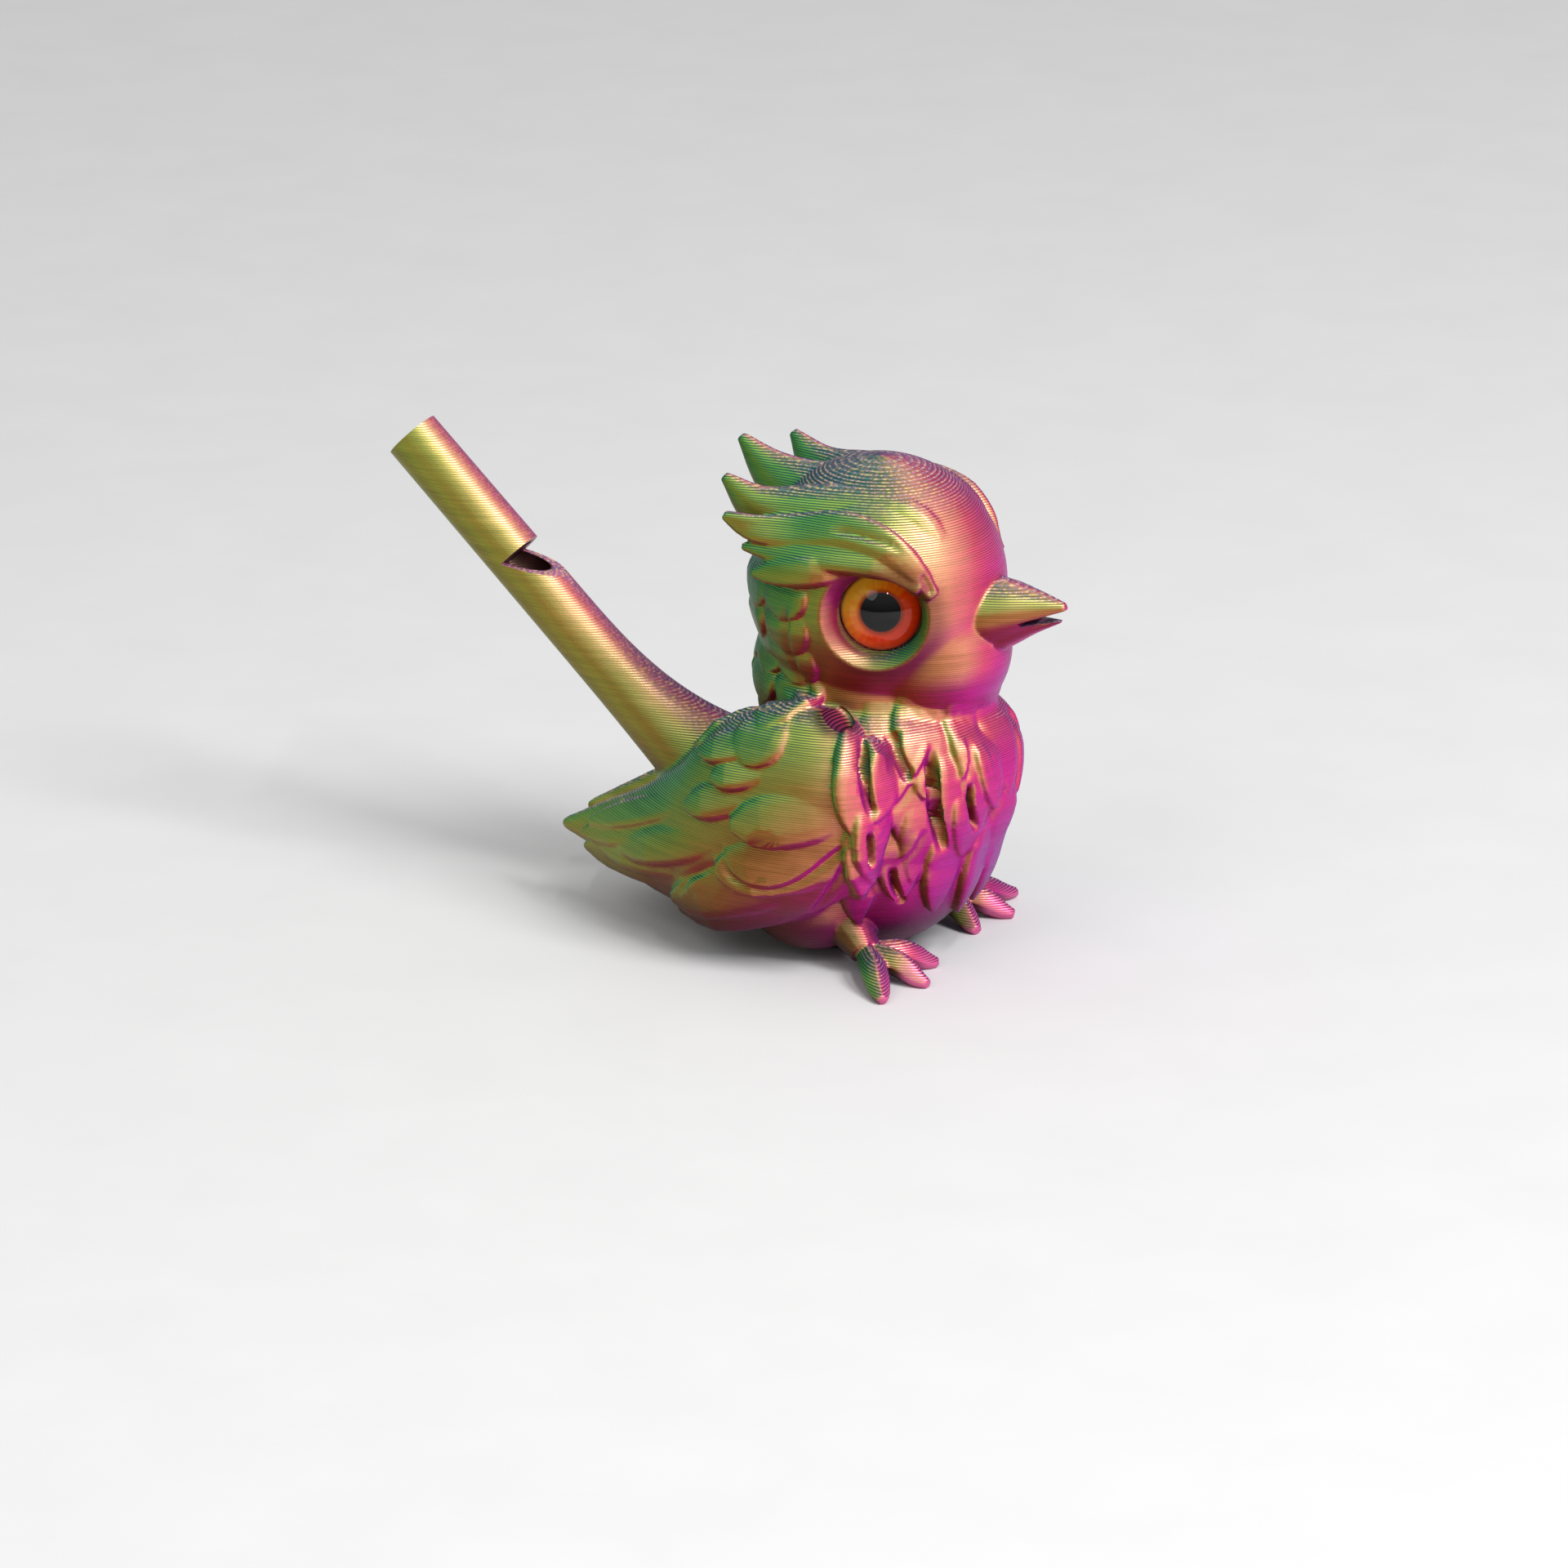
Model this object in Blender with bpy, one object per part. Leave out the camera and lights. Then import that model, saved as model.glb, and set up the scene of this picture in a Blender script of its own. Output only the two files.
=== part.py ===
"""A bird-shaped fipple whistle with two glass eyes, modelled at its real size.

The bird is printed in one piece. Its tail is the blowing tube: a flat windway runs from the mouth
end to a window, whose sloping edge splits the air, and a bore leads on into a hollow in the breast,
which holds the water. The beak is only notched. Each eye is a glass cabochon over a painted iris
disc, both glued into a round socket.

Metres, +Z up. The bird looks along -Y. The origin lies on the flat under the belly that it stands
on, in the plane that its two sides mirror in.
"""

import math

import bmesh
import bpy
import numpy as np
from mathutils import Matrix, Vector
from mathutils.bvhtree import BVHTree

MM = 0.001
SIDES = (-1, 1)

# Head and beak
HEAD_WIDTH = 31.0 * MM
HEAD_LENGTH = 32.6 * MM
HEAD_HEIGHT = 33.0 * MM
HEAD_BACK = -2.0 * MM
HEAD_LEVEL = 48.2 * MM
THROAT_WIDTH = 21.6 * MM
THROAT_LENGTH = 20.6 * MM
THROAT_HEIGHT = 22.0 * MM
NECK_WIDTH = 24.0 * MM
NECK_LENGTH = 28.0 * MM
NECK_HEIGHT = 26.0 * MM
NECK_LEVEL = 36.0 * MM
BEAK_ROOT = -17.6 * MM
BEAK_LENGTH = 9.8 * MM
BEAK_TIP = BEAK_ROOT - BEAK_LENGTH
BEAK_WIDTH = 10.8 * MM
BEAK_HEIGHT = 9.0 * MM
BEAK_LEVEL = 47.2 * MM
BEAK_GAPE = 1.7 * MM
BEAK_TIP_THICKNESS = 1.2 * MM
MOUTH_DEPTH = 5.4 * MM
MOUTH_LEVEL = 46.8 * MM
MOUTH_DROP = math.radians(12)

# Body, wings and feet
BREAST_WIDTH = 30.6 * MM
BREAST_LENGTH = 31.8 * MM
BREAST_HEIGHT = 33.0 * MM
BREAST_LEVEL = 23.5 * MM
BREAST_FORWARD = 3.2 * MM
BELLY_WIDTH = 31.0 * MM
BELLY_LENGTH = 38.0 * MM
BELLY_HEIGHT = 34.0 * MM
BELLY_BACK = 2.2 * MM
BELLY_FLAT = 1.0 * MM
WING_SPREAD = 15.0 * MM
WING_THICKNESS = 11.5 * MM
WING_HEIGHT = 27.0 * MM
WING_TIP_BACK = 41.0 * MM
WING_TIP_LEVEL = 10.9 * MM
WING_TIP_THICKNESS = 1.4 * MM
FOOT_SPREAD = 14.2 * MM
FOOT_FORWARD = 5.6 * MM
ANKLE_LEVEL = 2.8 * MM
TOE_LENGTH = 9.4 * MM
TOE_WIDTH = 3.4 * MM
TOE_FAN = 7.8 * MM
TOE_TIP_THICKNESS = 1.3 * MM

# Feathers
FEATHER_DEPTH = 2.6 * MM
FEATHER_ROOT_SINK = 0.25 * MM
BREAST_FEATHER_LENGTH = 13.0 * MM
BREAST_FEATHER_WIDTH = 4.9 * MM
BREAST_FEATHER_LIFT = 1.6 * MM
NAPE_FEATHER_LENGTH = 6.8 * MM
NAPE_FEATHER_WIDTH = 8.0 * MM
NAPE_FEATHER_LIFT = 0.7 * MM
WING_FEATHER_LIFT = 0.85 * MM
BROW_WIDTH = 4.8 * MM
BROW_LIFT = 1.2 * MM
CREST_RISE = 0.2 * MM
CREST_REACH = 2.9 * MM
CREST_TIP_THICKNESS = 1.2 * MM

# Blowing tube
TUBE_ANGLE = math.radians(45)
TUBE_END_BACK = 63.7 * MM
TUBE_END_LEVEL = 59.5 * MM
TUBE_DIAMETER = 7.3 * MM
TUBE_TAPER = 0.008
TUBE_FLARE = 3.6 * MM
TUBE_FLARE_START = 30.0 * MM
TUBE_FLARE_LENGTH = 22.5 * MM
TUBE_BORE = 5.4 * MM
WINDWAY_LENGTH = 20.5 * MM
WINDWAY_WIDTH = 3.8 * MM
WINDWAY_HEIGHT = 1.0 * MM
WINDOW_LENGTH = 6.1 * MM
WINDOW_FLOOR = -0.3 * MM
BORE_END = 70.0 * MM

# Inside
CHAMBER_WIDTH = 23.0 * MM
CHAMBER_LENGTH = 29.0 * MM
CHAMBER_HEIGHT = 25.0 * MM
CHAMBER_LEVEL = 18.5 * MM
CHAMBER_BACK = 3.0 * MM

# Eyes
EYE_DIAMETER = 10.0 * MM
EYE_DOME = 3.4 * MM
EYE_DISC = 0.5 * MM
EYE_LEVEL = 47.9 * MM
EYE_FORWARD = 7.6 * MM
EYE_SPREAD = 13.1 * MM
EYE_TURN = math.radians(18)
SOCKET_CLEARANCE = 0.25 * MM
SOCKET_DEPTH = 3.2 * MM
SOCKET_LIP = 7.4 * MM
SOCKET_LIP_HEIGHT = 3.4 * MM
SOCKET_WALL = 0.9 * MM
DISH_RADIUS = 8.8 * MM
DISH_FLOOR = 2.75 * MM
DISH_RISE = 1.5 * MM
DISH_SHIFT = 0.9 * MM
LIP_SHIFT = 0.6 * MM
EYE_GIRDLE = 0.6 * MM
GLUE_LINE = 0.15 * MM

# Fineness of the fused form
FORM_VOXEL = 0.5 * MM
FORM_SOFTENING = 1.87 * MM
PRINT_VOXEL = 0.36 * MM
PRINT_SOFTENING = 0.51 * MM
BODY_TRIANGLES = 9000
OVERCUT = 1.0 * MM


def clear_scene():
    for obj in list(bpy.data.objects):
        bpy.data.objects.remove(obj)


def plastic(name, colour, roughness, metallic=0.0):
    material = bpy.data.materials.new(name)
    material.use_nodes = True
    shader = material.node_tree.nodes["Principled BSDF"]
    shader.inputs["Base Color"].default_value = (*colour, 1)
    shader.inputs["Roughness"].default_value = roughness
    shader.inputs["Metallic"].default_value = metallic
    return material


def object_of(name, bm, material=None):
    """A named object that takes over the bmesh, with its normals pointing out."""
    bmesh.ops.recalc_face_normals(bm, faces=bm.faces)
    mesh = bpy.data.meshes.new(name)
    bm.to_mesh(mesh)
    bm.free()
    if material:
        mesh.materials.append(material)
    obj = bpy.data.objects.new(name, mesh)
    bpy.context.scene.collection.objects.link(obj)
    return obj


def through(rows, steps=5):
    """A smooth run of rows that passes through the given ones, as a Catmull-Rom curve."""
    rows = np.array(rows, float)
    held = np.vstack([2 * rows[0] - rows[1], rows, 2 * rows[-1] - rows[-2]])
    smooth = []
    for a, b, c, d in zip(held, held[1:], held[2:], held[3:]):
        for t in np.arange(steps) / steps:
            bend = (2 * a - 5 * b + 4 * c - d) * t * t + (3 * b - a - 3 * c + d) * t**3
            smooth.append(b + 0.5 * ((c - a) * t + bend))
    return np.array([*smooth, rows[-1]])


def ellipsoid(bm, centre, size, turn=0.0):
    """A closed ellipsoid of that full size, tipped about X by turn."""
    place = Matrix.Translation(centre) @ Matrix.Rotation(turn, 4, "X")
    matrix = place @ Matrix.Diagonal((*size, 1))
    bmesh.ops.create_icosphere(bm, subdivisions=4, radius=0.5, matrix=matrix)


def sweep(bm, stations, sides=14, square=2.0):
    """A closed rod through stations, each a middle, a half-width vector and a half-thickness vector.

    Its section is an ellipse where square is 2, and grows boxier above that.
    """
    last = len(stations) - 1
    sheet = bmesh.ops.create_grid(bm, x_segments=sides, y_segments=last, size=0.5)["verts"]
    for v in sheet:
        turn = math.tau * v.co.x
        middle, across, up = stations[round((v.co.y + 0.5) * last)]
        reach = math.copysign(abs(math.cos(turn)) ** (2 / square), math.cos(turn))
        rise = math.copysign(abs(math.sin(turn)) ** (2 / square), math.sin(turn))
        v.co = middle + across * reach + up * rise
    bmesh.ops.remove_doubles(bm, verts=sheet, dist=0.001 * MM)
    ends = {e for v in sheet if v.is_valid for e in v.link_edges if e.is_boundary}
    bmesh.ops.holes_fill(bm, edges=list(ends))


def horn(bm, rows, up, sides=14):
    """A rod through rows of x, y, z, half-width and half-thickness."""
    rows = through(rows)
    points = [Vector(row[:3]) for row in rows]
    stations = []
    for i, row in enumerate(rows):
        along = points[min(i + 1, len(rows) - 1)] - points[max(i - 1, 0)]
        across = along.cross(Vector(up)).normalized()
        stations.append((points[i], across * row[3], across.cross(along).normalized() * row[4]))
    sweep(bm, stations, sides)


def fused(name, bm, voxel, softening):
    """The outer skin of everything in the bmesh, as one closed object, evened out over that distance."""
    obj = object_of(name, bm)
    remesh = obj.modifiers.new("Fuse", "REMESH")
    remesh.mode = "VOXEL"
    remesh.voxel_size = voxel
    smooth = obj.modifiers.new("Soften", "SMOOTH")
    smooth.factor = 0.5
    smooth.iterations = round((softening / voxel) ** 2)
    return obj


def settled(obj):
    """Applies the object's modifiers to its own mesh."""
    graph = bpy.context.evaluated_depsgraph_get()
    mesh = bpy.data.meshes.new_from_object(obj.evaluated_get(graph))
    obj.modifiers.clear()
    obj.data = mesh
    return obj


def reduced(obj, triangles):
    """Collapses the object's mesh to about that many triangles."""
    count = sum(len(face.vertices) - 2 for face in obj.data.polygons)
    decimate = obj.modifiers.new("Reduce", "DECIMATE")
    decimate.ratio = min(1.0, triangles / count)
    decimate.use_collapse_triangulate = True
    return settled(obj)


def cut(obj, cutter, name):
    """Takes the cutter's shape out of the object, and keeps the cutter as a hidden helper."""
    cutter.hide_render = True
    cutter.display_type = "WIRE"
    boolean = obj.modifiers.new(name, "BOOLEAN")
    boolean.operation = "DIFFERENCE"
    boolean.object = cutter


# The blowing tube's own frame: distance along it from the mouth end, and height above its axis.
TUBE_MOUTH = Vector((0, TUBE_END_BACK, TUBE_END_LEVEL))
TUBE_ALONG = Vector((0, -math.cos(TUBE_ANGLE), -math.sin(TUBE_ANGLE)))
TUBE_UP = Vector((0, -math.sin(TUBE_ANGLE), math.cos(TUBE_ANGLE)))
TUBE_RADIUS = TUBE_DIAMETER / 2


def on_tube(distance, height=0.0, side=0.0):
    return TUBE_MOUTH + TUBE_ALONG * distance + TUBE_UP * height + Vector((side, 0, 0))


def tube_radius(distance):
    """The tube widens slowly along its length, then flares into the bird's back."""
    flare = max(0.0, distance - TUBE_FLARE_START) / TUBE_FLARE_LENGTH
    return TUBE_RADIUS + TUBE_TAPER * distance / 2 + TUBE_FLARE * flare**2.8 / 2


def tube_rod(bm):
    """The tube's outside. Its underside stays straight, and only its top side rises where it flares."""
    reach = TUBE_FLARE_START + TUBE_FLARE_LENGTH * 1.25
    stations = []
    for distance in np.linspace(-1.5 * OVERCUT, reach, 26):
        radius = tube_radius(distance)
        middle = on_tube(distance, radius - TUBE_RADIUS)
        stations.append((middle, Vector((radius, 0, 0)), TUBE_UP * radius))
    sweep(bm, stations, sides=32)


def on_head(side, x, y, z):
    """A point given in shares of the head's half width, half length and half height."""
    middle = Vector((0, HEAD_BACK, HEAD_LEVEL))
    return middle + Vector((side * x * HEAD_WIDTH, y * HEAD_LENGTH, z * HEAD_HEIGHT)) / 2


def on_wing(side, x, y, z):
    """A point given in shares of the wing's spread, of its tip's distance back and of its height."""
    return Vector((side * x * WING_SPREAD, y * WING_TIP_BACK, z * WING_HEIGHT))


def wing_mass(bm, side):
    """The wing from its shoulder to its tip."""
    half, deep = WING_HEIGHT / 2, WING_THICKNESS / 2
    outline = (
        # place as on_wing takes it, then shares of the wing's half-height and half-thickness
        (0.87, -0.220, 0.981, 0.34, 0.45),
        (1.00, -0.085, 0.926, 0.84, 0.92),
        (1.02, 0.134, 0.770, 1.00, 1.00),
        (0.90, 0.354, 0.593, 0.84, 0.90),
        (0.66, 0.573, 0.496, 0.58, 0.66),
        (0.42, 0.780, 0.452, 0.32, 0.40),
    )
    rows = [(*on_wing(side, x, y, z), h * half, t * deep) for x, y, z, h, t in outline]
    tip = Vector((side * 0.24 * WING_SPREAD, WING_TIP_BACK, WING_TIP_LEVEL))
    rows.append((*tip, WING_TIP_THICKNESS / 2, WING_TIP_THICKNESS / 2))
    horn(bm, rows, (side, 0, 0.12), sides=24)


def main_masses(bm):
    """Head, throat, body, thighs and wings, before any feather is laid on them."""
    ellipsoid(bm, on_head(1, 0, 0, 0), (HEAD_WIDTH, HEAD_LENGTH, HEAD_HEIGHT))
    throat = (THROAT_WIDTH, THROAT_LENGTH, THROAT_HEIGHT)
    ellipsoid(bm, on_head(1, 0, -0.43, -0.424), throat, math.radians(-18))
    ellipsoid(bm, (0, 0, NECK_LEVEL), (NECK_WIDTH, NECK_LENGTH, NECK_HEIGHT))
    breast = (BREAST_WIDTH, BREAST_LENGTH, BREAST_HEIGHT)
    ellipsoid(bm, (0, -BREAST_FORWARD, BREAST_LEVEL), breast, math.radians(12))
    # rump, tail root and thighs are placed and sized in shares of the belly
    belly = Vector((BELLY_WIDTH, BELLY_LENGTH, BELLY_HEIGHT))
    ellipsoid(bm, (0, BELLY_BACK, BELLY_HEIGHT / 2 - BELLY_FLAT), belly, math.radians(-6))
    rump = belly * Vector((0.71, 0.79, 0.62))
    ellipsoid(bm, belly * Vector((0, 0.37, 0.53)), rump, math.radians(-14))
    tail_root = belly * Vector((0.42, 0.63, 0.21))
    ellipsoid(bm, belly * Vector((0, 0.605, 0.37)), tail_root, math.radians(-6))
    for side in SIDES:
        thigh = belly * Vector((0.355, 0.447, 0.397))
        ellipsoid(bm, belly * Vector((side * 0.323, 0.092, 0.241)), thigh)
        wing_mass(bm, side)


def lay_feather(bm, surface, points, width, lift, roll=0.0, blunt=2.0, root=0.7, fade=0.45, snap=True):
    """A leaf through those points on the surface, sunk in at its root and standing proud at its tip.

    It is widest half-way. Its face stands lift over the surface from the share fade of its length
    on, roll raises one of its edges, and snap first drops its points onto the surface.
    """
    path = []
    for point in through(points, 4):
        near, normal, _, _ = surface.find_nearest(Vector(point))
        path.append((near if snap else Vector(point), normal))
    last = len(path) - 1
    stations = []
    for i, (point, normal) in enumerate(path):
        t = i / last
        along = (path[min(i + 1, last)][0] - path[max(i - 1, 0)][0]).normalized()
        normal = (normal - along * normal.dot(along)).normalized()
        breadth = root + (1 - root) * math.sin(math.pi * t)
        if t > 0.5:
            breadth = max(0.05, 1 - (2 * t - 1) ** blunt) ** (1 / blunt)
        face = (lift + FEATHER_ROOT_SINK) * min(1.0, t / fade) ** 1.5 - FEATHER_ROOT_SINK
        body = FEATHER_DEPTH / 2 * (1 - 0.45 * t**3)
        turn = Matrix.Rotation(roll, 3, along)
        across = turn @ along.cross(normal) * breadth * width / 2
        stations.append((point + normal * (face - body), across, turn @ normal * body))
    sweep(bm, stations, 12, 3.2)


def cast(surface, start, direction):
    """Where a ray from start leaves the surface for the last time."""
    way = Vector(direction).normalized()
    far = Vector(start) + way * 2 * HEAD_LEVEL
    hit, _, _, _ = surface.ray_cast(far, -way)
    return hit


def around(surface, level, turn):
    """The surface's point at that level, turned that far round from the beak."""
    return cast(surface, (0, 0, level), (math.sin(turn), -math.cos(turn), 0))


def breast_feathers(bm, surface):
    """Staggered rows of long pointed feathers that hang from the neck over the breast."""
    rows = (
        # level of the row's middle over the breast's own, how many feathers, and how far round in degrees
        (-0.060, 8, 66),
        (0.106, 7, 62),
        (0.273, 8, 66),
        (0.409, 7, 56),
    )
    for number, (level, count, spread) in enumerate(rows):
        middle = BREAST_LEVEL + level * BREAST_HEIGHT
        for i in range(count):
            share = 2 * i / (count - 1) - 1
            grow = 1 + 0.16 * math.sin(number * 2.1 + abs(share) * 7)
            turn = math.radians(spread) * share
            points = []
            for drop in (-0.15, 0.23, 0.62, 1.0):
                fall = drop * BREAST_FEATHER_LENGTH * grow
                points.append(around(surface, middle - fall, turn * (1 + 0.08 * drop)))
            roll = math.copysign(math.radians(7), share)
            width = BREAST_FEATHER_WIDTH * (2 - grow)
            lay_feather(bm, surface, points, width, BREAST_FEATHER_LIFT, roll, blunt=1.5, root=0.8)


def nape_feathers(bm, surface):
    """Rounded scales down the back of the head and neck."""
    for number, level in enumerate((-0.92, -0.65, -0.376, -0.103, 0.17)):
        count = 5 if number % 2 else 6
        for i in range(count):
            turn = math.radians(180 + 70 * (2 * i / (count - 1) - 1))
            middle = on_head(1, 0, 0, level).z
            points = []
            for drop in (-0.3, 0.2, 0.7):
                points.append(around(surface, middle - drop * NAPE_FEATHER_LENGTH, turn))
            lay_feather(bm, surface, points, NAPE_FEATHER_WIDTH, NAPE_FEATHER_LIFT, blunt=2.4)


def wing_feathers(bm, surface, side):
    """Long flight feathers towards the tip, broad leaves over them and small ones up to the shoulder."""
    rows = (
        # root and tip on the wing as y and z, and the width in shares of the wing's height
        (0.49, 0.33, 0.88, 0.355, 0.17),
        (0.37, 0.46, 0.80, 0.39, 0.17),
        (0.37, 0.69, 0.88, 0.42, 0.17),
        (0.34, 0.85, 0.85, 0.48, 0.16),
        (-0.02, 0.35, 0.46, 0.24, 0.26),
        (0.00, 0.50, 0.475, 0.29, 0.26),
        (0.20, 0.72, 0.70, 0.43, 0.20),
        (-0.18, 0.70, 0.28, 0.51, 0.32),
        (0.13, 0.95, 0.40, 0.785, 0.185),
        (-0.20, 0.93, 0.22, 0.76, 0.28),
        (0.085, 1.07, 0.305, 0.95, 0.165),
        (0.12, 1.20, 0.366, 1.04, 0.18),
    )
    for y, z, tip_y, tip_z, width in rows:
        points = []
        for t in (0, 0.5, 1):
            place = on_wing(side, 0, y + (tip_y - y) * t, z + (tip_z - z) * t)
            points.append(cast(surface, place, (side, 0, 0)))
        roll = -side * math.radians(10)
        lay_feather(bm, surface, points, width * WING_HEIGHT, WING_FEATHER_LIFT, roll, blunt=2.4, fade=0.7)


def crest(bm, surface):
    """Swept-back horns: one on the crown and one on each flank, over three plates at each brow."""
    across, over = HEAD_WIDTH / 2, HEAD_HEIGHT / 2
    thin = CREST_TIP_THICKNESS / 2
    tip = on_head(1, 0, 1, 1) + Vector((0, CREST_REACH, CREST_RISE))
    crown = (
        (*on_head(1, 0, -0.245, 0.527), 0.387 * across, 0.376 * over),
        (*on_head(1, 0, 0.429, 0.515), 0.335 * across, 0.400 * over),
        (*on_head(1, 0, 0.871, 0.733), 0.168 * across, 0.206 * over),
        (*tip, thin, thin),
    )
    horn(bm, crown, (0, 0.2, 1))
    for side in SIDES:
        flank = (
            (*on_head(side, 0.355, -0.307, 0.473), 0.290 * across, 0.394 * over),
            (*on_head(side, 0.477, 0.307, 0.509), 0.271 * across, 0.364 * over),
            (*on_head(side, 0.606, 0.736, 0.642), 0.161 * across, 0.206 * over),
            (*on_head(side, 0.69, 1.025, 0.888), thin, thin),
        )
        horn(bm, flank, (side * 0.25, 0.2, 1))
        brow = (
            (0.735, -0.767, 0.158),
            (0.806, -0.607, 0.390),
            (0.819, -0.344, 0.555),
            (0.820, 0.0, 0.620),
            (0.826, 0.368, 0.560),
            (0.865, 0.675, 0.555),
            (0.877, 0.933, 0.640),
        )
        middle = (
            (0.830, -0.675, 0.230),
            (0.885, -0.399, 0.390),
            (0.910, -0.061, 0.436),
            (0.918, 0.276, 0.410),
            (0.880, 0.773, 0.405),
        )
        lower = (
            (0.920, -0.123, 0.335),
            (0.952, 0.258, 0.290),
            (0.900, 0.663, 0.215),
        )
        for points, width, lift, roll in (
            (brow, 1.0, 1.0, -9),
            (middle, 0.9, 0.75, 4),
            (lower, 0.85, 1.2, -6),
        ):
            places = [on_head(side, *point) for point in points]
            lay_feather(
                bm,
                surface,
                places,
                width * BROW_WIDTH,
                lift * BROW_LIFT,
                roll=-side * math.radians(roll),
                root=0.4,
                fade=0.3,
                snap=False,
            )


def beak(bm):
    """A stout cone, broad where it leaves the face, whose halves part at the tip."""
    wide, high = BEAK_WIDTH / 2, BEAK_HEIGHT / 2
    thin = BEAK_TIP_THICKNESS / 2
    rows = []
    for forward, rise, w, h in (
        # how far forward of the face in shares of the length, rise, half-width, half-height
        (-0.51, -0.22, 0.81, 0.89),
        (-0.12, -0.24, 1.0, 1.0),
        (0.245, -0.11, 0.81, 0.84),
        (0.653, 0.02, 0.44, 0.49),
    ):
        rows.append((0, BEAK_ROOT - forward * BEAK_LENGTH, BEAK_LEVEL + rise * high, w * wide, h * high))
    rows.append((0, BEAK_TIP, BEAK_LEVEL + thin, thin, thin))
    horn(bm, rows, (0, 0, 1), sides=24)
    rows = []
    for forward, rise, w, h in (
        (-0.41, -1.02, 0.72, 0.67),
        (0.10, -0.78, 0.63, 0.53),
        (0.55, -0.44, 0.39, 0.29),
    ):
        rows.append((0, BEAK_ROOT - forward * BEAK_LENGTH, BEAK_LEVEL + rise * high, w * wide, h * high))
    rows.append((0, BEAK_TIP + thin, BEAK_LEVEL - 0.18 * high, thin, thin))
    horn(bm, rows, (0, 0, 1), sides=20)


def foot(bm, side):
    """A short leg, and three thick toes in a fan."""
    ankle = Vector((side * 0.86 * FOOT_SPREAD, -FOOT_FORWARD, ANKLE_LEVEL))
    hip = Vector((side * 0.67 * FOOT_SPREAD, -0.18 * FOOT_FORWARD, 2.5 * ANKLE_LEVEL))
    half = TOE_WIDTH / 2
    horn(bm, ((*hip, 2.45 * half, 2.45 * half), (*ankle, 1.75 * half, 1.3 * half)), (0, 1, 0.2))
    thin = TOE_TIP_THICKNESS / 2
    for reach, length in ((-TOE_FAN, 0.79), (0, 1.0), (TOE_FAN, 0.69)):
        tip = Vector((side * (FOOT_SPREAD + reach), -FOOT_FORWARD - TOE_LENGTH * length, 0.9 * thin))
        knuckle = ankle.lerp(tip, 0.5) + Vector((0, 0, 0.35 * half))
        rows = (
            (*ankle, 0.88 * half, 0.88 * half),
            (*knuckle, 1.03 * half, half),
            (*ankle.lerp(tip, 0.82), 0.76 * half, 0.68 * half),
            (*tip, thin, thin),
        )
        horn(bm, rows, (0, 0, 1))


def eye_frame(side):
    """A frame at the middle of the eye's seat, with +Z looking out of the head."""
    look = Vector((side * math.cos(EYE_TURN), -math.sin(EYE_TURN), 0))
    seat = Vector((side * EYE_SPREAD, -EYE_FORWARD, EYE_LEVEL)) - look * SOCKET_DEPTH
    return Matrix.Translation(seat) @ look.to_track_quat("Z", "Y").to_matrix().to_4x4()


def sink_eye_dish(mesh, side):
    """Presses the eye's round lip and a wide shallow dish into the face."""
    outward = eye_frame(side)
    inward = outward.inverted()
    turn = inward.to_3x3()
    dish = turn @ Vector((0, -DISH_SHIFT, -DISH_SHIFT))
    lip = turn @ Vector((0, LIP_SHIFT, -LIP_SHIFT))
    bottom = EYE_DIAMETER / 2
    for v in mesh.vertices:
        local = inward @ v.co
        share = math.hypot(local.x - dish.x, local.y - dish.y) / DISH_RADIUS
        if local.z < 0 or share > 1:
            continue
        level = DISH_FLOOR + DISH_RISE * share**3
        if local.z > level:
            local.z += (level - local.z) * min(1.0, (1 - share) * 4)
        reach = math.hypot(local.x - lip.x, local.y - lip.y)
        if reach < SOCKET_LIP:
            climb = max(0.0, reach - bottom) / (SOCKET_LIP - bottom)
            local.z = min(local.z, SOCKET_WALL + (SOCKET_LIP_HEIGHT - SOCKET_WALL) * climb**0.6)
        v.co = outward @ local


def printed_body(material):
    """The whole printed bird, fused, reduced and cut open."""
    masses = bmesh.new()
    main_masses(masses)
    guide = settled(fused("guide_form", masses, FORM_VOXEL, FORM_SOFTENING))
    guide.hide_render = True
    guide.display_type = "WIRE"
    corners = [v.co for v in guide.data.vertices]
    surface = BVHTree.FromPolygons(corners, [p.vertices for p in guide.data.polygons])
    for side in SIDES:
        sink_eye_dish(guide.data, side)
    bm = bmesh.new()
    bm.from_mesh(guide.data)
    nape_feathers(bm, surface)
    breast_feathers(bm, surface)
    for side in SIDES:
        wing_feathers(bm, surface, side)
        foot(bm, side)
    crest(bm, surface)
    beak(bm)
    tube_rod(bm)
    body = settled(fused("whistle_body", bm, PRINT_VOXEL, PRINT_SOFTENING))
    reduced(body, BODY_TRIANGLES)
    body.data.materials.append(material)
    body.data.shade_smooth()
    body.data.set_sharp_from_angle(angle=math.radians(50))
    for name, cutter in (
        ("Floor", floor_cutter()),
        ("Mouth", mouth_cutter()),
        ("Right socket", socket_cutter(-1)),
        ("Left socket", socket_cutter(1)),
        ("Chamber", chamber_cutter()),
        ("Bore", bore_cutter()),
        ("Tube end", end_cutter()),
        ("Windway", windway_cutter()),
        ("Window", window_cutter()),
    ):
        cut(body, cutter, name)
    return body


def floor_cutter():
    """Everything below the print bed, which leaves the belly and the toes flat."""
    bm = bmesh.new()
    size = Vector((3 * BELLY_WIDTH, 4 * BELLY_LENGTH, BELLY_HEIGHT))
    matrix = Matrix.Translation((0, 0, -size.z / 2)) @ Matrix.Diagonal((*size, 1))
    bmesh.ops.create_cube(bm, size=1, matrix=matrix)
    return object_of("cut_floor", bm)


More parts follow.
